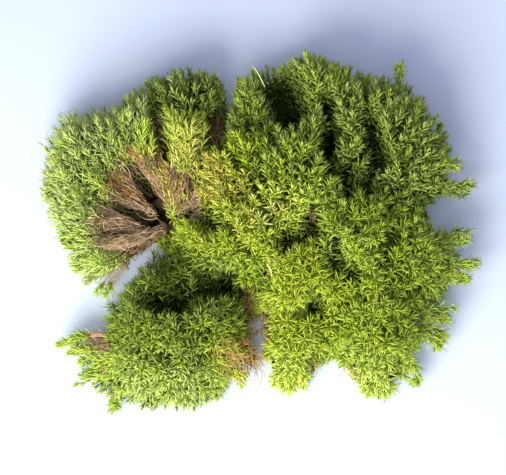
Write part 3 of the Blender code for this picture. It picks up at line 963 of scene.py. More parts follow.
def joinPiece(name, bundles):
    rows, offset = [], 0
    for bundle in filter(None, bundles):
        number, size = bundle["corners"].shape[:2]
        faces = bundle["form"]["faces"]
        sizes = np.array([len(face) for face in faces])
        starts = np.arange(number)[:, None] * size
        loops = (starts + np.concatenate([np.array(face) for face in faces])[None, :]).ravel()
        uv = bundle["loopUv"] if "loopUv" in bundle else bundle["uv"].reshape(-1, 2)[loops]
        rows.append((loops + offset, np.tile(sizes, number), np.full(len(sizes) * number, bundle["slot"]),
                     bundle["corners"].reshape(-1, 3), uv))
        offset += number * size
    loopVertex, faceSize, faceSlot, corners, uv = (np.concatenate(part) for part in zip(*rows))
    mesh = bpy.data.meshes.new(name)
    mesh.vertices.add(len(corners))
    mesh.vertices.foreach_set("co", corners.astype(np.float32).ravel())
    mesh.loops.add(len(loopVertex))
    mesh.loops.foreach_set("vertex_index", loopVertex.astype(np.int32))
    mesh.polygons.add(len(faceSize))
    starts = np.concatenate([[0], np.cumsum(faceSize)[:-1]])
    mesh.polygons.foreach_set("loop_start", starts.astype(np.int32))
    mesh.polygons.foreach_set("material_index", faceSlot.astype(np.int32))
    mesh.update(calc_edges=True)
    layer = mesh.uv_layers.new(name=mapName, do_init=False)
    layer.uv.foreach_set("vector", np.clip(uv, *uvRange).astype(np.float32).ravel())
    for material in mossMaterials:
        mesh.materials.append(material)
    piece = bpy.data.objects.new(name, mesh)
    bpy.context.scene.collection.objects.link(piece)
    mesh.calc_loop_triangles()
    return piece


# patches of leaves with a tone of their own, the dimmest of them painted shade: middle, reach each way,
# tone, how strong, and how much paler
patches = (
    ((0.0004, 0.0044), (0.0120, 0.0088), 0.55, 1.00, 3.2),
    ((0.0075, -0.0264), (0.0085, 0.0190), 0.45, 0.8, 1.2),
    ((-0.0078, 0.0114), (0.0040, 0.0035), 0.68, 0.8, 0.4),
    ((-0.0140, 0.0126), (0.0045, 0.0060), 0.62, 0.8, 0.7),
    ((-0.0010, -0.0194), (0.0040, 0.0110), 0.58, 0.6, 1.0),
    # painted shade: the back left and back right parts, which face away from the lamp, are dimmed
    ((-0.0330, 0.0406), (0.0250, 0.0120), 0.18, 0.5, 0.9),
    ((0.0200, 0.0306), (0.0260, 0.0200), 0.24, 0.4, 1.0),
    ((-0.0460, 0.0080), (0.0045, 0.0090), 0.36, 0.80, 0.5),
    ((-0.0410, 0.0190), (0.0055, 0.0050), 0.37, 0.80, 0.5),
    ((-0.0330, 0.0250), (0.0060, 0.0040), 0.38, 0.70, 0.6),
    # painted shade: the dome's back slope and the valley behind it, which face away from the lamp
    ((-0.0205, -0.0158), (0.0150, 0.0075), 0.08, 0.95, 0.6),
    ((-0.0265, -0.0105), (0.0080, 0.0075), 0.10, 0.85, 0.6),
    ((-0.0240, 0.0100), (0.0060, 0.0060), 0.50, 0.85, 1.2),
    ((-0.0275, 0.0175), (0.0040, 0.0040), 0.62, 0.75, 1.0),
    ((-0.0318, 0.0214), (0.0050, 0.0026), 0.60, 0.65, 1.0),
    ((-0.0425, 0.0114), (0.0035, 0.0045), 0.52, 0.60, 0.8),
    ((-0.0240, 0.0260), (0.0060, 0.0090), 0.48, 0.60, 0.8),
    ((-0.0180, -0.0040), (0.0060, 0.0050), 0.50, 0.50, 1.0),
    # painted shade: the notch beside the centre back tuft
    ((-0.0104, 0.0330), (0.0026, 0.0060), 0.14, 0.80, 0.6),
    ((-0.0205, 0.0205), (0.0095, 0.0090), 0.640, 0.70, 0.35),
    ((-0.0085, -0.0345), (0.0046, 0.0060), 0.620, 0.80, 0.8),
)
patchEdge = 1.2  # the higher, the sooner a patch fades
# the leaves get paler towards the front edge, a painted highlight on the side that faces the lamp, and those
# in a valley get painted shade
frontPaintedLight = {"from": 0.032, "over": 0.009, "paler": 2.6}
valleyPaintedShade = {"most": 1.15, "fall": 1.3, "least": 0.15}


def patchLook(points, tone, pale):
    for middle, reach, own, strength, paler in patches:
        gap = (points[:, :2] - np.array(middle)) / np.array(reach)
        share = strength * np.exp(-(gap ** 2).sum(1) * patchEdge)
        tone = tone + (own - tone) * share
        pale = pale * (1 + (paler - 1) * share)
    # painted highlight: leaves near the front edge, which faces the lamp, are made paler
    rim = np.clip((-points[:, 1] - frontPaintedLight["from"]) / frontPaintedLight["over"], 0, 1)
    # painted shade: a valley dims the leaves' tone and their pale tips
    light = valleyPaintedShade["most"] - valleyPaintedShade["fall"] * valleyDepth(points)
    light = np.clip(light, valleyPaintedShade["least"], 1)
    return tone * light, pale * light * (1 + frontPaintedLight["paler"] * rim)


shootNoise = {"tone": 0.035, "pale": 0.28, "size": 0.10, "girth": 0.15, "stemTone": 0.012, "stemPale": 0.12}
shootRange = {"tone": (0.05, 0.74), "pale": (0.15, 1.60), "stemPale": (0.05, 0.9), "lowestTip": 0.0012}
stemPaleness = 0.3
kneeBack = 0.5  # of the way from root to tip, back from the tip


def shootsTo(points, ways, root, tone, pale, short, uneven):
    number = len(points)
    heading = unit(ways)
    tip = points - heading * (short + np.abs(dice.normal(0, uneven, number)))[:, None]
    tip[:, 2] = np.maximum(tip[:, 2], shootRange["lowestTip"])
    reach = np.linalg.norm(tip - root, axis=1)[:, None]
    return {
        "root": root, "knee": tip - heading * reach * kneeBack, "tip": tip,
        "tone": np.clip(tone + dice.normal(0, shootNoise["tone"], number), *shootRange["tone"]),
        "pale": np.clip(pale * dice.normal(1.0, shootNoise["pale"], number), *shootRange["pale"]),
        "size": dice.normal(1.0, shootNoise["size"], number),
        "turn": dice.uniform(0, 2 * math.pi, number),
        "open": np.ones(number), "broad": np.ones(number), "curl": np.ones(number),
        "girth": dice.normal(1.0, shootNoise["girth"], number),
        "stemTone": dice.normal(0, shootNoise["stemTone"], number),
        "stemPale": np.clip(dice.normal(stemPaleness, shootNoise["stemPale"], number),
                            *shootRange["stemPale"]),
    }


def pickShoots(shoots, mask):
    return {key: value[mask] for key, value in shoots.items()}


# the body of matted brown stems inside each tuft; under the upright tufts it is coloured dim green as
# painted shade
felt = {
    "height": 0.50, "inset": 0.0026, "lump": 0.0005, "cuts": 2, "onFloor": 0.0003, "steepness": 1.8,
    "leastSteep": 0.05, "fillGap": 0.0060, "meet": 0.48, "startGap": 0.0001,
    "faceWidth": 0.004, "strip": 0.05, "aboveStrip": 0.06,
    "trim": 0.0040, "trimAround": 0.0042, "trimLow": 0.85,
    "waves": ((2100.0, 1400.0, 900.0), (-1300.0, 1900.0, 700.0), (800.0, -1100.0, 1700.0)),
    # the tone and paleness under the upright tufts: painted shade, dimmed below the leaves' tone and dimmed
    # again in valleys
    "paintedShadeDrop": 0.20, "darkest": 0.03, "valleyPaintedDark": 2.0, "toneMiddle": 0.01, "toneWave": 0.01,
    "leastPale": 0.02, "pale": 0.08, "paleWave": 0.06,
}
openPairs = {  # tufts with open floor between them, behind this place along the clump's depth
    ("lower_left_tuft", "front_tuft"): -1.0,
    ("lower_left_tuft", "left_front_tuft"): -1.0,
    ("back_left_tuft", "centre_back_tuft"): 0.0325,
}


def spreadLevel(name, points, level):  # how far each point moves out, to meet a neighbour or clear the edge
    corners, triangles, owner = solidsOf([other for other in tuftNames if other != name])
    tree = treeOf(corners, triangles)
    moves = np.full(len(points), -felt["inset"])
    for i, (point, way) in enumerate(zip(points, level)):
        if not way.any():
            moves[i] = 0.0
            continue
        start = Vector(point + way * felt["startGap"])
        spot, normal, index, gap = tree.ray_cast(start, Vector(way), felt["fillGap"])
        if not spot:
            continue
        pairs = ((name, owner[index]), (owner[index], name))
        if spot.y < min(openPairs.get(pair, 1.0) for pair in pairs):
            moves[i] = gap * felt["meet"]
    return moves


def feltBody(name, lower):
    item = addMesh(name + "Felt", *solidOf(name))
    cuts = item.modifiers.new("cuts", "SUBSURF")
    cuts.subdivision_type = "SIMPLE"
    cuts.levels = felt["cuts"]
    cuts.render_levels = felt["cuts"]
    bpy.ops.object.modifier_apply(modifier="cuts")
    normals = np.array([corner.normal[:] for corner in item.data.vertices])
    shape = takeShape(item)
    points = shape["corners"]
    steep = np.clip(np.linalg.norm(normals[:, :2], axis=1) * felt["steepness"], 0, 1)
    level = unit(normals * [1.0, 1.0, 0.0]) * (steep > felt["leastSteep"])[:, None]
    trimmed = trimShare(points, felt["trimAround"])
    moves = (spreadLevel(name, points, level) - felt["trim"] * trimmed) * steep
    wave = np.sin(points @ np.array(felt["waves"]).T)
    onFloor = points[:, 2] < felt["onFloor"]
    points = points + level * moves[:, None]
    stays = (1 - valleyDepth(points)) * (1 - felt["trimLow"] * trimmed)
    points[:, 2] = np.where(onFloor, 0.0, lower(points) * stays)
    push = felt["lump"] * wave.prod(1) * ~onFloor
    shape["corners"] = points + normals * push[:, None]
    shape["corners"][:, 2] = np.maximum(shape["corners"][:, 2], 0.0)
    return shape, wave


def feltBundle(shape, u, v):  # nearly one u for a face, so that no face runs through the tones between
    corners, faces = shape["corners"], shape["faces"]
    sizes = np.array([len(face) for face in faces])
    loops = np.concatenate([np.array(face) for face in faces])
    faceOf = np.repeat(np.arange(len(sizes)), sizes)
    first = np.array([face[0] for face in faces])[faceOf]
    within = felt["faceWidth"] * np.concatenate([np.arange(size) / size for size in sizes])
    plain = np.stack([u[first] + within, np.maximum(v[loops], felt["aboveStrip"])], -1)
    spot = (corners - corners.min(0)) / np.ptp(corners, axis=0)
    cut = np.stack([spot[loops, 0], spot[loops, 1] * felt["strip"]], -1)
    isCut = np.array([corners[list(face), 2].max() < cutFace["below"] for face in faces])
    return {"form": shape, "slot": feltSlot, "corners": corners[None],
            "loopUv": np.where(isCut[faceOf][:, None], cut, plain)}


def greenFelt(name):
    shape, wave = feltBody(name, lambda points: points[:, 2] * felt["height"])
    # painted shade: the felt is dimmed below its tuft's leaf tone, and more so in a valley
    light = np.clip(1 - felt["valleyPaintedDark"] * valleyDepth(shape["corners"]), 0, 1)
    tone = max(tufts[name]["tone"] - felt["paintedShadeDrop"], felt["darkest"]) * light
    tone = tone + felt["toneMiddle"] + felt["toneWave"] * wave[:, 0] * wave[:, 1]
    pale = felt["leastPale"] + (felt["pale"] + felt["paleWave"] * wave[:, 2]) * light
    return feltBundle(shape, tone, pale)


# beds of loose strands that lie on a tuft: the two ends of the stretch they start along, which way
# they run, how far, how far they spread, how many, their tone, paleness and thickness
strandBeds = {
    "lower_left_tuft": (
        ((-0.0042, -0.0135, 0.0120), (-0.0056, -0.0290, 0.0080), (-0.1, -1.0, -0.15),
         0.0038, 0.0015, 120, 0.74, 0.25, 1.0),
        ((-0.0090, -0.0300, 0.0075), (-0.0036, -0.0336, 0.0035), (0.3, -0.9, -0.20),
         0.0032, 0.0014, 220, 0.660, 0.60, 1.6),
        ((-0.0106, -0.0325, 0.0222), (-0.0072, -0.0368, 0.0160), (0.3, -0.9, -0.30),
         0.0030, 0.0020, 80, 0.655, 0.45, 1.0),
        ((-0.0455, -0.0290, 0.0060), (-0.0420, -0.0320, 0.0060), (-1.0, -0.1, 0.0),
         0.0038, 0.0015, 130, 0.86, 0.97, 1.0),
    ),
    "left_front_tuft": (
        ((-0.0362, -0.0046, 0.0068), (-0.0292, -0.0004, 0.0078), (-0.8, -0.5, -0.2),
         0.0020, 0.0006, 150, 0.80, 0.25, 1.4),
    ),
    "front_inner_tuft": (
        ((-0.0014, -0.0160, 0.0080), (-0.0010, -0.0215, 0.0060), (-0.2, -1.0, -0.2),
         0.0026, 0.0009, 90, 0.84, 0.05, 1.6),
    ),
    "front_tuft": (
        ((0.0006, -0.0235, 0.0060), (0.0006, -0.0280, 0.0050), (0.1, -1.0, -0.2),
         0.0024, 0.0006, 60, 0.84, 0.05, 1.6),
        ((0.0090, -0.0345, 0.0060), (0.0138, -0.0360, 0.0050), (0.2, -0.6, -0.1),
         0.0030, 0.0012, 22, 0.62, 0.90, 1.0),
    ),
    "front_right_tuft": (
        ((0.0225, -0.0350, 0.0060), (0.0262, -0.0385, 0.0050), (-0.3, -0.6, 0.0),
         0.0034, 0.0013, 22, 0.62, 0.90, 1.0),
    ),
    "right_tuft": (
        ((0.0455, -0.0035, 0.0090), (0.0470, -0.0100, 0.0090), (0.7, 0.3, 0.0),
         0.0060, 0.0012, 26, 0.87, 0.95, 1.0),
    ),
    "middle_tuft": (
        ((0.0120, 0.0040, 0.0230), (0.0128, -0.0010, 0.0220), (0.2, 0.3, 0.8),
         0.0030, 0.0008, 12, 0.80, 0.02, 1.0),
    ),
    "centre_left_tuft": (
        ((-0.0100, 0.0120, 0.0170), (-0.0060, 0.0110, 0.0180), (0.4, 0.5, 0.6),
         0.0050, 0.0016, 50, 0.72, 0.60, 1.0),
    ),
    "left_inner_tuft": (
        ((-0.0250, 0.0260, 0.0120), (-0.0180, 0.0240, 0.0120), (0.1, 1.0, 0.5),
         0.0040, 0.0018, 60, 0.72, 0.35, 1.0),
        ((-0.0135, 0.0300, 0.0060), (-0.0125, 0.0225, 0.0100), (-0.1, 1.0, 0.3),
         0.0046, 0.0014, 150, 0.76, 0.30, 1.0),
        ((-0.0300, 0.0300, 0.0080), (-0.0276, 0.0236, 0.0110), (-0.1, 1.0, 0.3),
         0.0042, 0.0010, 70, 0.76, 0.30, 1.0),
    ),
}
strandNoise = {"way": 0.70, "wayLevel": 0.5, "level": 0.7, "length": (0.5, 1.2), "knee": 0.0012,
               "tone": (-0.02, 0.0, 0.02, 0.06), "pale": 0.15, "girth": (0.7, 1.6)}
strandLook = {"footRadius": 0.00008, "tipRadius": 0.00006, "lowest": 0.0006, "pale": (0.02, 0.97)}

# single threads: root, knee, tip, thickness, tone and paleness
threads = {
    "lower_left_tuft": (
        ((-0.0080, -0.0345, 0.0050), (-0.0066, -0.0400, 0.0030), (-0.0064, -0.0440, 0.0012),
         1.6, 0.72, 0.85),
        ((-0.0074, -0.0365, 0.0040), (-0.0082, -0.0400, 0.0030), (-0.0072, -0.0425, 0.0012),
         1.2, 0.72, 0.80),
        ((-0.0034, -0.0325, 0.0050), (0.0006, -0.0372, 0.0040), (-0.0020, -0.0420, 0.0012),
         1.0, 0.74, 0.70),
        ((-0.0020, -0.0420, 0.0012), (-0.0040, -0.0400, 0.0015), (-0.0024, -0.0366, 0.0030),
         1.0, 0.74, 0.70),
        ((-0.0390, -0.0430, 0.0030), (-0.0450, -0.0440, 0.0030), (-0.0504, -0.0402, 0.0015),
         1.6, 0.90, 0.70),
        ((-0.0420, -0.0440, 0.0020), (-0.0405, -0.0460, 0.0020), (-0.0388, -0.0480, 0.0010),
         1.6, 0.96, 0.50),
    ),
    "centre_back_tuft": (
        ((-0.0002, 0.0380, 0.0210), (-0.0026, 0.0425, 0.0250), (-0.0038, 0.0436, 0.0215),
         2.4, 0.52, 0.97),
    ),
    "front_inner_tuft": (
        ((0.0002, -0.0105, 0.0240), (0.0014, -0.0125, 0.0262), (0.0016, -0.0142, 0.0240),
         5.0, 0.57, 0.97),
    ),
    "left_front_tuft": (
        ((-0.0380, -0.0070, 0.0050), (-0.0440, -0.0100, 0.0040), (-0.0482, -0.0125, 0.0030),
         1.4, 0.88, 0.60),
        ((-0.0370, -0.0075, 0.0050), (-0.0420, -0.0125, 0.0040), (-0.0462, -0.0140, 0.0030),
         1.4, 0.86, 0.60),
        ((-0.0385, -0.0078, 0.0070), (-0.0378, -0.0088, 0.0070), (-0.0374, -0.0094, 0.0060),
         6.0, 0.94, 0.10),
    ),
}


def growStrands(name):
    rows = []
    for start, stop, way, length, spread, number, tone, pale, thick in strandBeds.get(name, ()):
        root = start + np.subtract(stop, start) * dice.random((number, 1))
        root = root + dice.normal(0, spread, (number, 3)) * [1.0, 1.0, strandNoise["level"]]
        turned = dice.normal(0, strandNoise["way"], (number, 3)) * [1.0, 1.0, strandNoise["wayLevel"]]
        way = unit(unit(np.array(way)) + turned)
        tip = root + way * length * dice.uniform(*strandNoise["length"], (number, 1))
        knee = (root + tip) / 2 + dice.normal(0, strandNoise["knee"], (number, 3))
        tones = tone + dice.choice(strandNoise["tone"], number)
        pales = pale + dice.normal(0, strandNoise["pale"], number)
        rows.append((root, knee, tip, dice.uniform(*strandNoise["girth"], number) * thick, tones, pales))
    for thread in threads.get(name, ()):
        rows.append([np.array([value]) for value in thread])
    if not rows:
        return None
    keys = ("root", "knee", "tip", "girth", "stemTone", "stemPale")
    strands = {key: np.concatenate(part) for key, part in zip(keys, zip(*rows))}
    for key in ("root", "knee", "tip"):
        strands[key][:, 2] = np.maximum(strands[key][:, 2], strandLook["lowest"])
    strands["stemPale"] = np.clip(strands["stemPale"], *strandLook["pale"])
    return growStems(strands, hairStem, strandLook["footRadius"], strandLook["tipRadius"], 0.0)


# the bare stems of the hollow: how many are tried on each tuft, how thick, long and straight they are
hollow = {
    "number": 8600, "radius": 0.000085, "taper": (1.2, 0.8), "longest": 0.0100, "shortest": 0.0026,
    "swerve": 16.0, "loose": 0.10, "looser": 4, "over": 0.0008, "ragged": 0.0010, "tone": 0.86, "pale": 0.80,
    "hubGap": 0.001, "hubPart": 0.9, "least": 0.0008,
    "crackSoft": 1.5, "crackFree": 0.5, "lift": 0.0003, "depth": 0.0016,
    "rise": (0.03, 0.07), "bow": 0.0006, "bowUp": 0.0004, "thickPart": 0.2, "thick": 1.8, "thin": 0.9,
    "girthNoise": 0.2, "toneNoise": 0.03, "deepShadeTone": 0.05, "paleNoise": 0.2, "deepShadePale": 0.25,
    "paleRange": (0.02, 0.95), "zonePart": 0.95, "lowest": 0.0004,
    # cracks between the bundles of stems, dark from their depth and from painted shade on the felt below:
    # from, to and half the width
    "cracks": (
        ((-0.0362, 0.0168), (-0.0238, 0.0012), 0.0018),
        ((-0.0412, 0.0066), (-0.0300, 0.0024), 0.0013),
        ((-0.0460, -0.0026), (-0.0362, -0.0008), 0.0006),
        ((-0.0286, 0.0236), (-0.0246, 0.0176), 0.0011),
        ((-0.0216, 0.0042), (-0.0212, 0.0046), 0.0014),
        ((-0.0176, 0.0178), (-0.0172, 0.0180), 0.0010),
    ),
    # zones with stems of their own look: middle, reach each way, tone, paleness
    "zones": (
        ((-0.0420, 0.0125), (0.0038, 0.0044), 0.685, 0.20),
        ((-0.0259, -0.0017), (0.0020, 0.0028), 0.690, 0.30),
        ((-0.0216, 0.0096), (0.0036, 0.0040), 0.880, 0.98),
        ((-0.0165, 0.0040), (0.0036, 0.0038), 0.875, 0.95),
        ((-0.0400, -0.0003), (0.0095, 0.0055), 0.870, 0.95),
        ((-0.0340, 0.0105), (0.0040, 0.0050), 0.810, 0.55),
        ((-0.0470, -0.0035), (0.0040, 0.0050), 0.800, 0.20),
        ((-0.0380, -0.0100), (0.0070, 0.0030), 0.820, 0.30),
        ((-0.0268, 0.0160), (0.0046, 0.0066), 0.640, 0.10),
        ((-0.0330, 0.0218), (0.0062, 0.0042), 0.645, 0.12),
        ((-0.0140, 0.0095), (0.0040, 0.0050), 0.650, 0.10),
    ),
}


def crackShare(points):  # one in the middle of a crack, nothing outside it
    share = np.zeros(len(points))
    for start, end, half in hollow["cracks"]:
        share = np.maximum(share, np.clip(hollow["crackSoft"] - gapTo(points, start, end) / half, 0, 1))
    return share


def growHollow(name):  # bare stems that lie outwards from the hub, in bundles
    tree = treeOf(*solidOf(name))
    number = hollow["number"]
    angle = dice.uniform(hollowRim[0][0], hollowRim[-1][0], number)
    rim = rimAt(angle)
    reach = max(stop[1] for stop in hollowRim) * np.sqrt(dice.random(number))
    turned = np.radians(angle)
    middle = np.stack([hub[0] + np.cos(turned) * reach, hub[1] + np.sin(turned) * reach, reach * 0], 1)
    hits = [dropOn(tree, x, y)[0] for x, y, z in middle]
    heights = np.array([hit.z if hit else -1.0 for hit in hits])
    swerve = np.radians(dice.normal(0, hollow["swerve"], number))
    swerve = np.where(dice.random(number) < hollow["loose"], swerve * hollow["looser"], swerve)
    rise = dice.normal(*hollow["rise"], number)
    way = np.stack([np.cos(turned + swerve), np.sin(turned + swerve), rise], 1)
    half = dice.uniform(hollow["shortest"], hollow["longest"], number) / 2
    over = hollow["over"] + dice.normal(0, hollow["ragged"], number)
    inwards = reach * hollow["hubPart"] + hollow["hubGap"]
    half = np.minimum(half, np.minimum(inwards, rim + over - reach))
    along = [crackShare(middle + way * half[:, None] * part) for part in (-1.0, -0.5, 0.0, 0.5, 1.0)]
    good = (heights > 0) & (half > hollow["least"])
    good &= (np.max(along, axis=0) < hollow["crackFree"]) & (trimShare(middle) == 0)
    if not good.any():
        return None
    middle, turned, heights, way = middle[good], turned[good], heights[good], way[good]
    half, number = half[good, None], good.sum()
    deep = dice.random(number) ** 2
    thick = dice.random(number) < hollow["thickPart"]
    middle[:, 2] = heights * (1 - valleyDepth(middle)) + hollow["lift"] - hollow["depth"] * deep
    bow = np.stack([-np.sin(turned), np.cos(turned), np.zeros(number)], 1)
    bow = bow * dice.normal(0, hollow["bow"], (number, 1))
    bow[:, 2] = np.abs(dice.normal(0, hollow["bowUp"], number))
    tone, pale = np.full(number, hollow["tone"]), np.full(number, hollow["pale"])
    for place, size, ownTone, ownPale in hollow["zones"]:
        gap = (middle[:, :2] - np.array(place)) / np.array(size)
        inside = dice.random(number) < np.exp(-(gap ** 2).sum(1)) * hollow["zonePart"]
        tone, pale = np.where(inside, ownTone, tone), np.where(inside, ownPale, pale)
    girth = np.where(thick, hollow["thick"], hollow["thin"]) * dice.normal(1.0, hollow["girthNoise"], number)
    # painted shade: stems lying deeper among the others are dimmed and made less pale
    tone = tone + dice.normal(0.0, hollow["toneNoise"], number) + hollow["deepShadeTone"] * deep
    pale = pale + dice.normal(0.0, hollow["paleNoise"], number) - hollow["deepShadePale"] * deep
    stems = {"root": middle - way * half, "knee": middle + bow * 2, "tip": middle + way * half,
             "girth": girth, "stemTone": tone, "stemPale": np.clip(pale, *hollow["paleRange"])}
    for key in ("root", "tip"):
        stems[key][:, 2] = np.maximum(stems[key][:, 2], hollow["lowest"])
    footRadius, tipRadius = (hollow["radius"] * part for part in hollow["taper"])
    return growStems(stems, hairStem, footRadius, tipRadius, 0.0)


# the felt of the fanned tufts, which lies bare in the hollow
fanFeltLook = {
    "rimOver": 0.004, "sunk": 0.0008, "ridge": 0.0004, "ridges": 90, "crackDeep": 0.6,
    "bareTone": 0.96, "crackShadeTone": 0.035, "bareOver": 0.001, "coveredShadeTone": 0.09, "toneWave": 0.02,
    "pale": 0.12, "paleWave": 0.06,
}


def lowerFan(points):
    own = fanFeltLook
    angle, reach, rim = hubReach(points)
    share = np.clip((reach - rim) / own["rimOver"], 0, 1)
    height = points[:, 2] * (1 - share * (1 - felt["height"])) - own["sunk"] * (1 - share)
    ridge = own["ridge"] * np.sin(np.radians(angle) * own["ridges"]) * (1 - share)
    return np.maximum((height + ridge) * (1 - own["crackDeep"] * crackShare(points)), 0.0)


def fanFelt(name):
    own = fanFeltLook
    shape, wave = feltBody(name, lowerFan)
    angle, reach, rim = hubReach(shape["corners"])
    # painted shade: the bare felt is dimmed in the cracks between stem bundles, and dim green where leaves
    # cover it
    bare = own["bareTone"] + own["crackShadeTone"] * crackShare(shape["corners"])
    tone = np.where(reach < rim + own["bareOver"], bare, own["coveredShadeTone"])
    tone = np.where(angle > notchEdge["from"], notchEdge["tone"], tone)
    return feltBundle(shape, tone - own["toneWave"] * wave[:, 0] * wave[:, 1],
                      own["pale"] + own["paleWave"] * wave[:, 2])


upwards, backwards = np.array([0.0, 0.0, 1.0]), np.array([0.0, 1.0, 0.0])
cushionMiddle = np.array([0.0165, -0.0010])  # that the shoots of the big right-hand part lean away from


def leafyBundles(look, shoots, isEdge):
    top, low = look["topLeaves"], look["lowLeaves"]
    stemTone = look["stemTone"] * shoots["tone"][:, None]
    return [
        growLeaves(shoots, look, topLeaf, 0, top),
        growLeaves(shoots, look, lowLeaf, top, low),
        growLeaves(pickShoots(shoots, isEdge), look, lowLeaf, top + low, look["edgeLeaves"]),
        growStems(shoots, thinStem, look["stemFoot"], look["stemTip"], stemTone),
    ]


def growTuft(name):
    look = uprightLook
    isDome = name == "lower_left_tuft"
    points, ways = tipPoints[tipOwners == name], tipWays[tipOwners == name]
    number = len(points)
    low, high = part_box(name)
    middle = np.array([(low.x + high.x) / 2, (low.y + high.y) / 2])
    away = points[:, :2] - (middle if isDome else cushionMiddle)
    far = np.linalg.norm(away, axis=1)[:, None] / look["domeReach" if isDome else "bigReach"]
    lean = look["lean"] * np.clip(far, 0, look["mostLean"]) ** look["leanRise"]
    outward = np.concatenate([unit(away) * lean, np.zeros((number, 1))], 1)
    sunk = valleyDepth(points)[:, None]
    towardsBack = np.clip((points[:, 1:2] - look["leanFrom"]) / look["leanOver"], look["leastBack"], 1)
    heading = unit(ways * (look["follow"] - look["sunkFollow"] * sunk)
                   + upwards * (look["rise"] + look["sunkRise"] * sunk)
                   + outward + backwards * (look["leanBack"] * towardsBack)
                   + dice.normal(0, look["wander"], (number, 3)))
    hold = look["hold"] + look["lowHold"] * (1 - points[:, 2:3] / high.z)
    root = np.full((number, 3), look["rootHeight"])
    root[:, :2] = middle + (points[:, :2] - middle) * hold + dice.normal(0, look["rootNoise"], (number, 2))
    behind = np.clip((points[:, 1] - look["shortFrom"]) / look["shortOver"], 0, 1)
    shoots = shootsTo(points, heading, root, *patchLook(points, tufts[name]["tone"], tufts[name]["pale"]),
                      look["short"] - look["backShort"] * behind, look["uneven"])
    reach = (look["frontTo"], look["backFrom"])
    shoots["open"] = np.interp(points[:, 1], reach, (look["frontOpen"], look["backOpen"]))
    shoots["size"] *= np.interp(points[:, 1], reach, (look["frontLong"], 1.0))
    shoots["broad"] = np.interp(points[:, 1], reach, (look["frontNarrow"], 1.0))
    shoots["curl"] = np.interp(points[:, 1], reach, (look["frontCurl"], 1.0))
    bundles = leafyBundles(look, shoots, ways[:, 2] < look["edgeFrom"])
    if name in ("centre_tuft", "centre_left_tuft"):
        bundles.append(growHollow(name))
    bundles += [growStrands(name), greenFelt(name)]
    return joinPiece("moss_" + name, bundles), number


def growFan(name):
    look = fanLook
    points, ways = tipPoints[tipOwners == name], tipWays[tipOwners == name]
    number = len(points)
    way = unit(points[:, :2] - hub)
    outward = np.concatenate([way, np.zeros((number, 1))], 1)
    heading = unit(ways * look["follow"] + upwards * look["rise"] + outward * look["flat"]
                   + backwards * look["leanBack"] + dice.normal(0, look["wander"], (number, 3)))
    reach = np.linalg.norm(points[:, :2] - hub, axis=1)[:, None]
    root = points * look["rootHeight"]
    root[:, :2] = hub + way * reach * (look["rootFrom"] + look["rootOver"] * dice.random((number, 1)))
    shoots = shootsTo(points, heading, root, *patchLook(points, fans[name]["tone"], fans[name]["pale"]),
                      look["short"], look["uneven"])
    bundles = leafyBundles(look, shoots, ways[:, 2] < look["edgeFrom"])
    bundles += [growHollow(name), growStrands(name), fanFelt(name)]
    return joinPiece("moss_" + name, bundles), number


# single shoots at the edge: how many stand together, how far they spread and how far they stand
# aside of their solid, their tone and paleness, the leaves on each, and the tone of the bare foot
sides = {
    "back_stray_shoot": {"count": 4, "spread": 0.0012, "aside": (-0.0008, 0.0014),
                         "tone": 0.27, "pale": 0.60, "leaves": 30, "foot": 0.15},
    "right_back_shoot": {"count": 8, "spread": 0.0026, "aside": (-0.0008, 0.0003),
                         "tone": 0.25, "pale": 0.60, "leaves": 26, "foot": 0.15},
    "notch_shoot": {"count": 9, "spread": 0.0024, "aside": (0.0006, 0.0010),
                    "tone": 0.25, "pale": 0.60, "leaves": 28, "foot": 0.15},
    "right_upper_shoot": {"count": 14, "spread": 0.0034, "aside": (-0.0012, 0.0002),
                          "tone": 0.28, "pale": 0.65, "leaves": 26, "foot": 0.16},
    "right_long_shoot": {"count": 6, "spread": 0.0016, "aside": (-0.0008, 0.0),
                         "tone": 0.31, "pale": 0.70, "leaves": 28, "foot": 0.16},
    "right_lower_shoot": {"count": 9, "spread": 0.0026, "aside": (0.0, 0.0010),
                          "tone": 0.31, "pale": 0.65, "leaves": 26, "foot": 0.16},
    "front_right_long_shoot": {"count": 15, "spread": 0.0034, "aside": (0.0020, -0.0006),
                               "tone": 0.30, "pale": 0.65, "leaves": 26, "foot": 0.16},
    "front_right_low_shoot": {"count": 13, "spread": 0.0030, "aside": (0.0004, 0.0001),
                              "tone": 0.30, "pale": 0.65, "leaves": 28, "foot": 0.16},
    "front_stray_shoot": {"count": 4, "spread": 0.0010, "aside": (-0.0016, -0.0008),
                          "tone": 0.30, "pale": 0.65, "leaves": 24, "foot": 0.15},
    "left_side_shoot": {"count": 22, "spread": 0.0046, "aside": (-0.0002, -0.0008),
                        "tone": 0.33, "pale": 0.65, "leaves": 16, "foot": 0.86},
    "left_low_shoot": {"count": 24, "spread": 0.0050, "aside": (0.0006, 0.0003),
                       "tone": 0.33, "pale": 0.75, "leaves": 24, "foot": 0.86},
    "left_stray_shoot": {"count": 7, "spread": 0.0026, "aside": (-0.0002, -0.0006),
                         "tone": 0.33, "pale": 0.75, "leaves": 22, "foot": 0.86},
    "rusty_side_shoot": {"count": 10, "spread": 0.0030, "aside": (-0.0024, 0.0008),
                         "tone": 0.46, "pale": 0.60, "leaves": 13, "foot": 0.70},
}
twigs = {
    "long_twig": {"count": 5, "spread": 0.0016, "aside": (-0.0008, -0.0012),
                  "tone": 0.30, "pale": 0.75, "leaves": 12, "foot": 0.86},
    "short_twig": {"count": 5, "spread": 0.0016, "aside": (-0.0008, -0.0010),
                   "tone": 0.30, "pale": 0.75, "leaves": 10, "foot": 0.86},
}
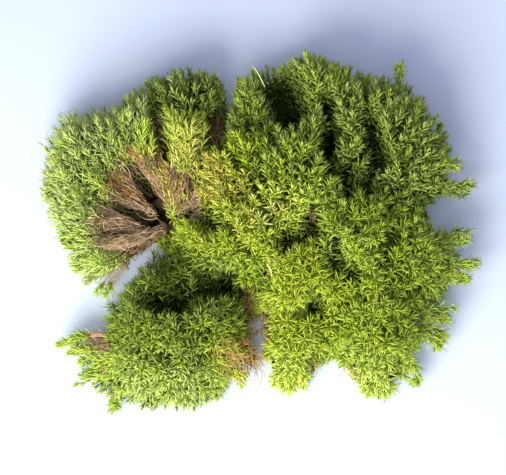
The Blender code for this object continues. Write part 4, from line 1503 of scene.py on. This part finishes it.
sideLook = {
    "step": 0.00024, "stretch": 0.04, "length": 0.0029, "width": 0.00070,
    "budAngle": 8.0, "openAngle": 38.0, "angleNoise": 12.0, "opening": 0.0016, "budSize": 0.55,
    "fullSize": 0.0018, "curl": 0.12, "budCurl": 0.03, "ageFrom": 0.0060, "ageOver": 0.0120,
    "footPale": 0.12, "oldTone": 0.76, "oldRange": 0.10, "oldShare": 0.0, "shaded": 0.2,
    "short": 0.0026, "uneven": 0.0006, "wander": 0.12, "splay": 120, "scatter": 0.8, "level": 0.6,
    "rootBack": 0.0028, "rootSpread": 0.5, "shorter": 0.38, "lowest": 0.0016,
    "shootRadius": 0.00018, "twigRadius": 0.00013, "taper": 0.7,
}
pathParts = ((0.0, 0.15), (0.4, 0.6), (0.85, 1.0))  # of a solid's length: its foot, middle and tip


def pathOf(name):  # foot, middle and tip of a side shoot's solid; the foot is nearer the clump's middle
    corners = solidOf(name)[0]
    centre = corners.mean(0)
    axis = np.linalg.svd(corners - centre, full_matrices=False)[2][0]
    along = (corners - centre) @ axis
    ends = [np.linalg.norm(corners[end, :2]) for end in (along.argmin(), along.argmax())]
    if ends[0] > ends[1]:
        along = -along
    part = (along - along.min()) / np.ptp(along)
    return [corners[(part >= low) & (part <= high)].mean(0) for low, high in pathParts]


def raised(points):  # clear of the floor
    return np.maximum(points, [-np.inf, -np.inf, sideLook["lowest"]])


def growSide(name, own, footRadius):
    look = sideLook
    number = own["count"]
    foot, middle, tip = pathOf(name)
    way = unit(tip - foot)
    scatter = dice.uniform(-look["scatter"], look["scatter"], (number, 3)) * own["spread"]
    scatter = scatter * [1.0, 1.0, look["level"]]
    scatter[0] = 0.0  # the first one keeps the full length
    shorter = dice.uniform(0, look["shorter"], (number, 1)) * np.linalg.norm(tip - foot)
    shorter[0] = 0.0
    aside = np.array([*own["aside"], 0.0])
    root = foot - way * look["rootBack"] + scatter * look["rootSpread"] + aside
    ends = tip - way * shorter + scatter + aside
    ways = way + scatter * look["splay"] + dice.normal(0, look["wander"], (number, 3))
    shoots = shootsTo(ends, ways, raised(root), own["tone"], own["pale"], look["short"], look["uneven"])
    shoots["knee"] = raised(2 * middle - (foot + tip) / 2 + scatter + aside)
    shoots["tip"] = raised(shoots["tip"])
    bundles = [
        growLeaves(shoots, look, topLeaf, 0, own["leaves"]),
        growStems(shoots, hairStem, footRadius, footRadius * look["taper"], own["foot"]),
    ]
    return joinPiece("moss_" + name, bundles), number


def growSideShoot(name):
    return growSide(name, sides[name], sideLook["shootRadius"])


def growTwig(name):
    return growSide(name, twigs[name], sideLook["twigRadius"])


makers = (
    (tufts, growTuft, "upright_moss"),
    (fans, growFan, "fanned_moss"),
    (sides, growSideShoot, "side_shoot"),
    (twigs, growTwig, "brown_stem"),
)
triangleCount = 0
for names, grow, slot in makers:
    for name in names:
        piece, number = grow(name)
        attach(piece, "root")
        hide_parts(name)
        triangleCount += len(piece.data.loop_triangles)
        print(name, number, "shoots", len(piece.data.loop_triangles), "triangles")
print("triangles in all", triangleCount)
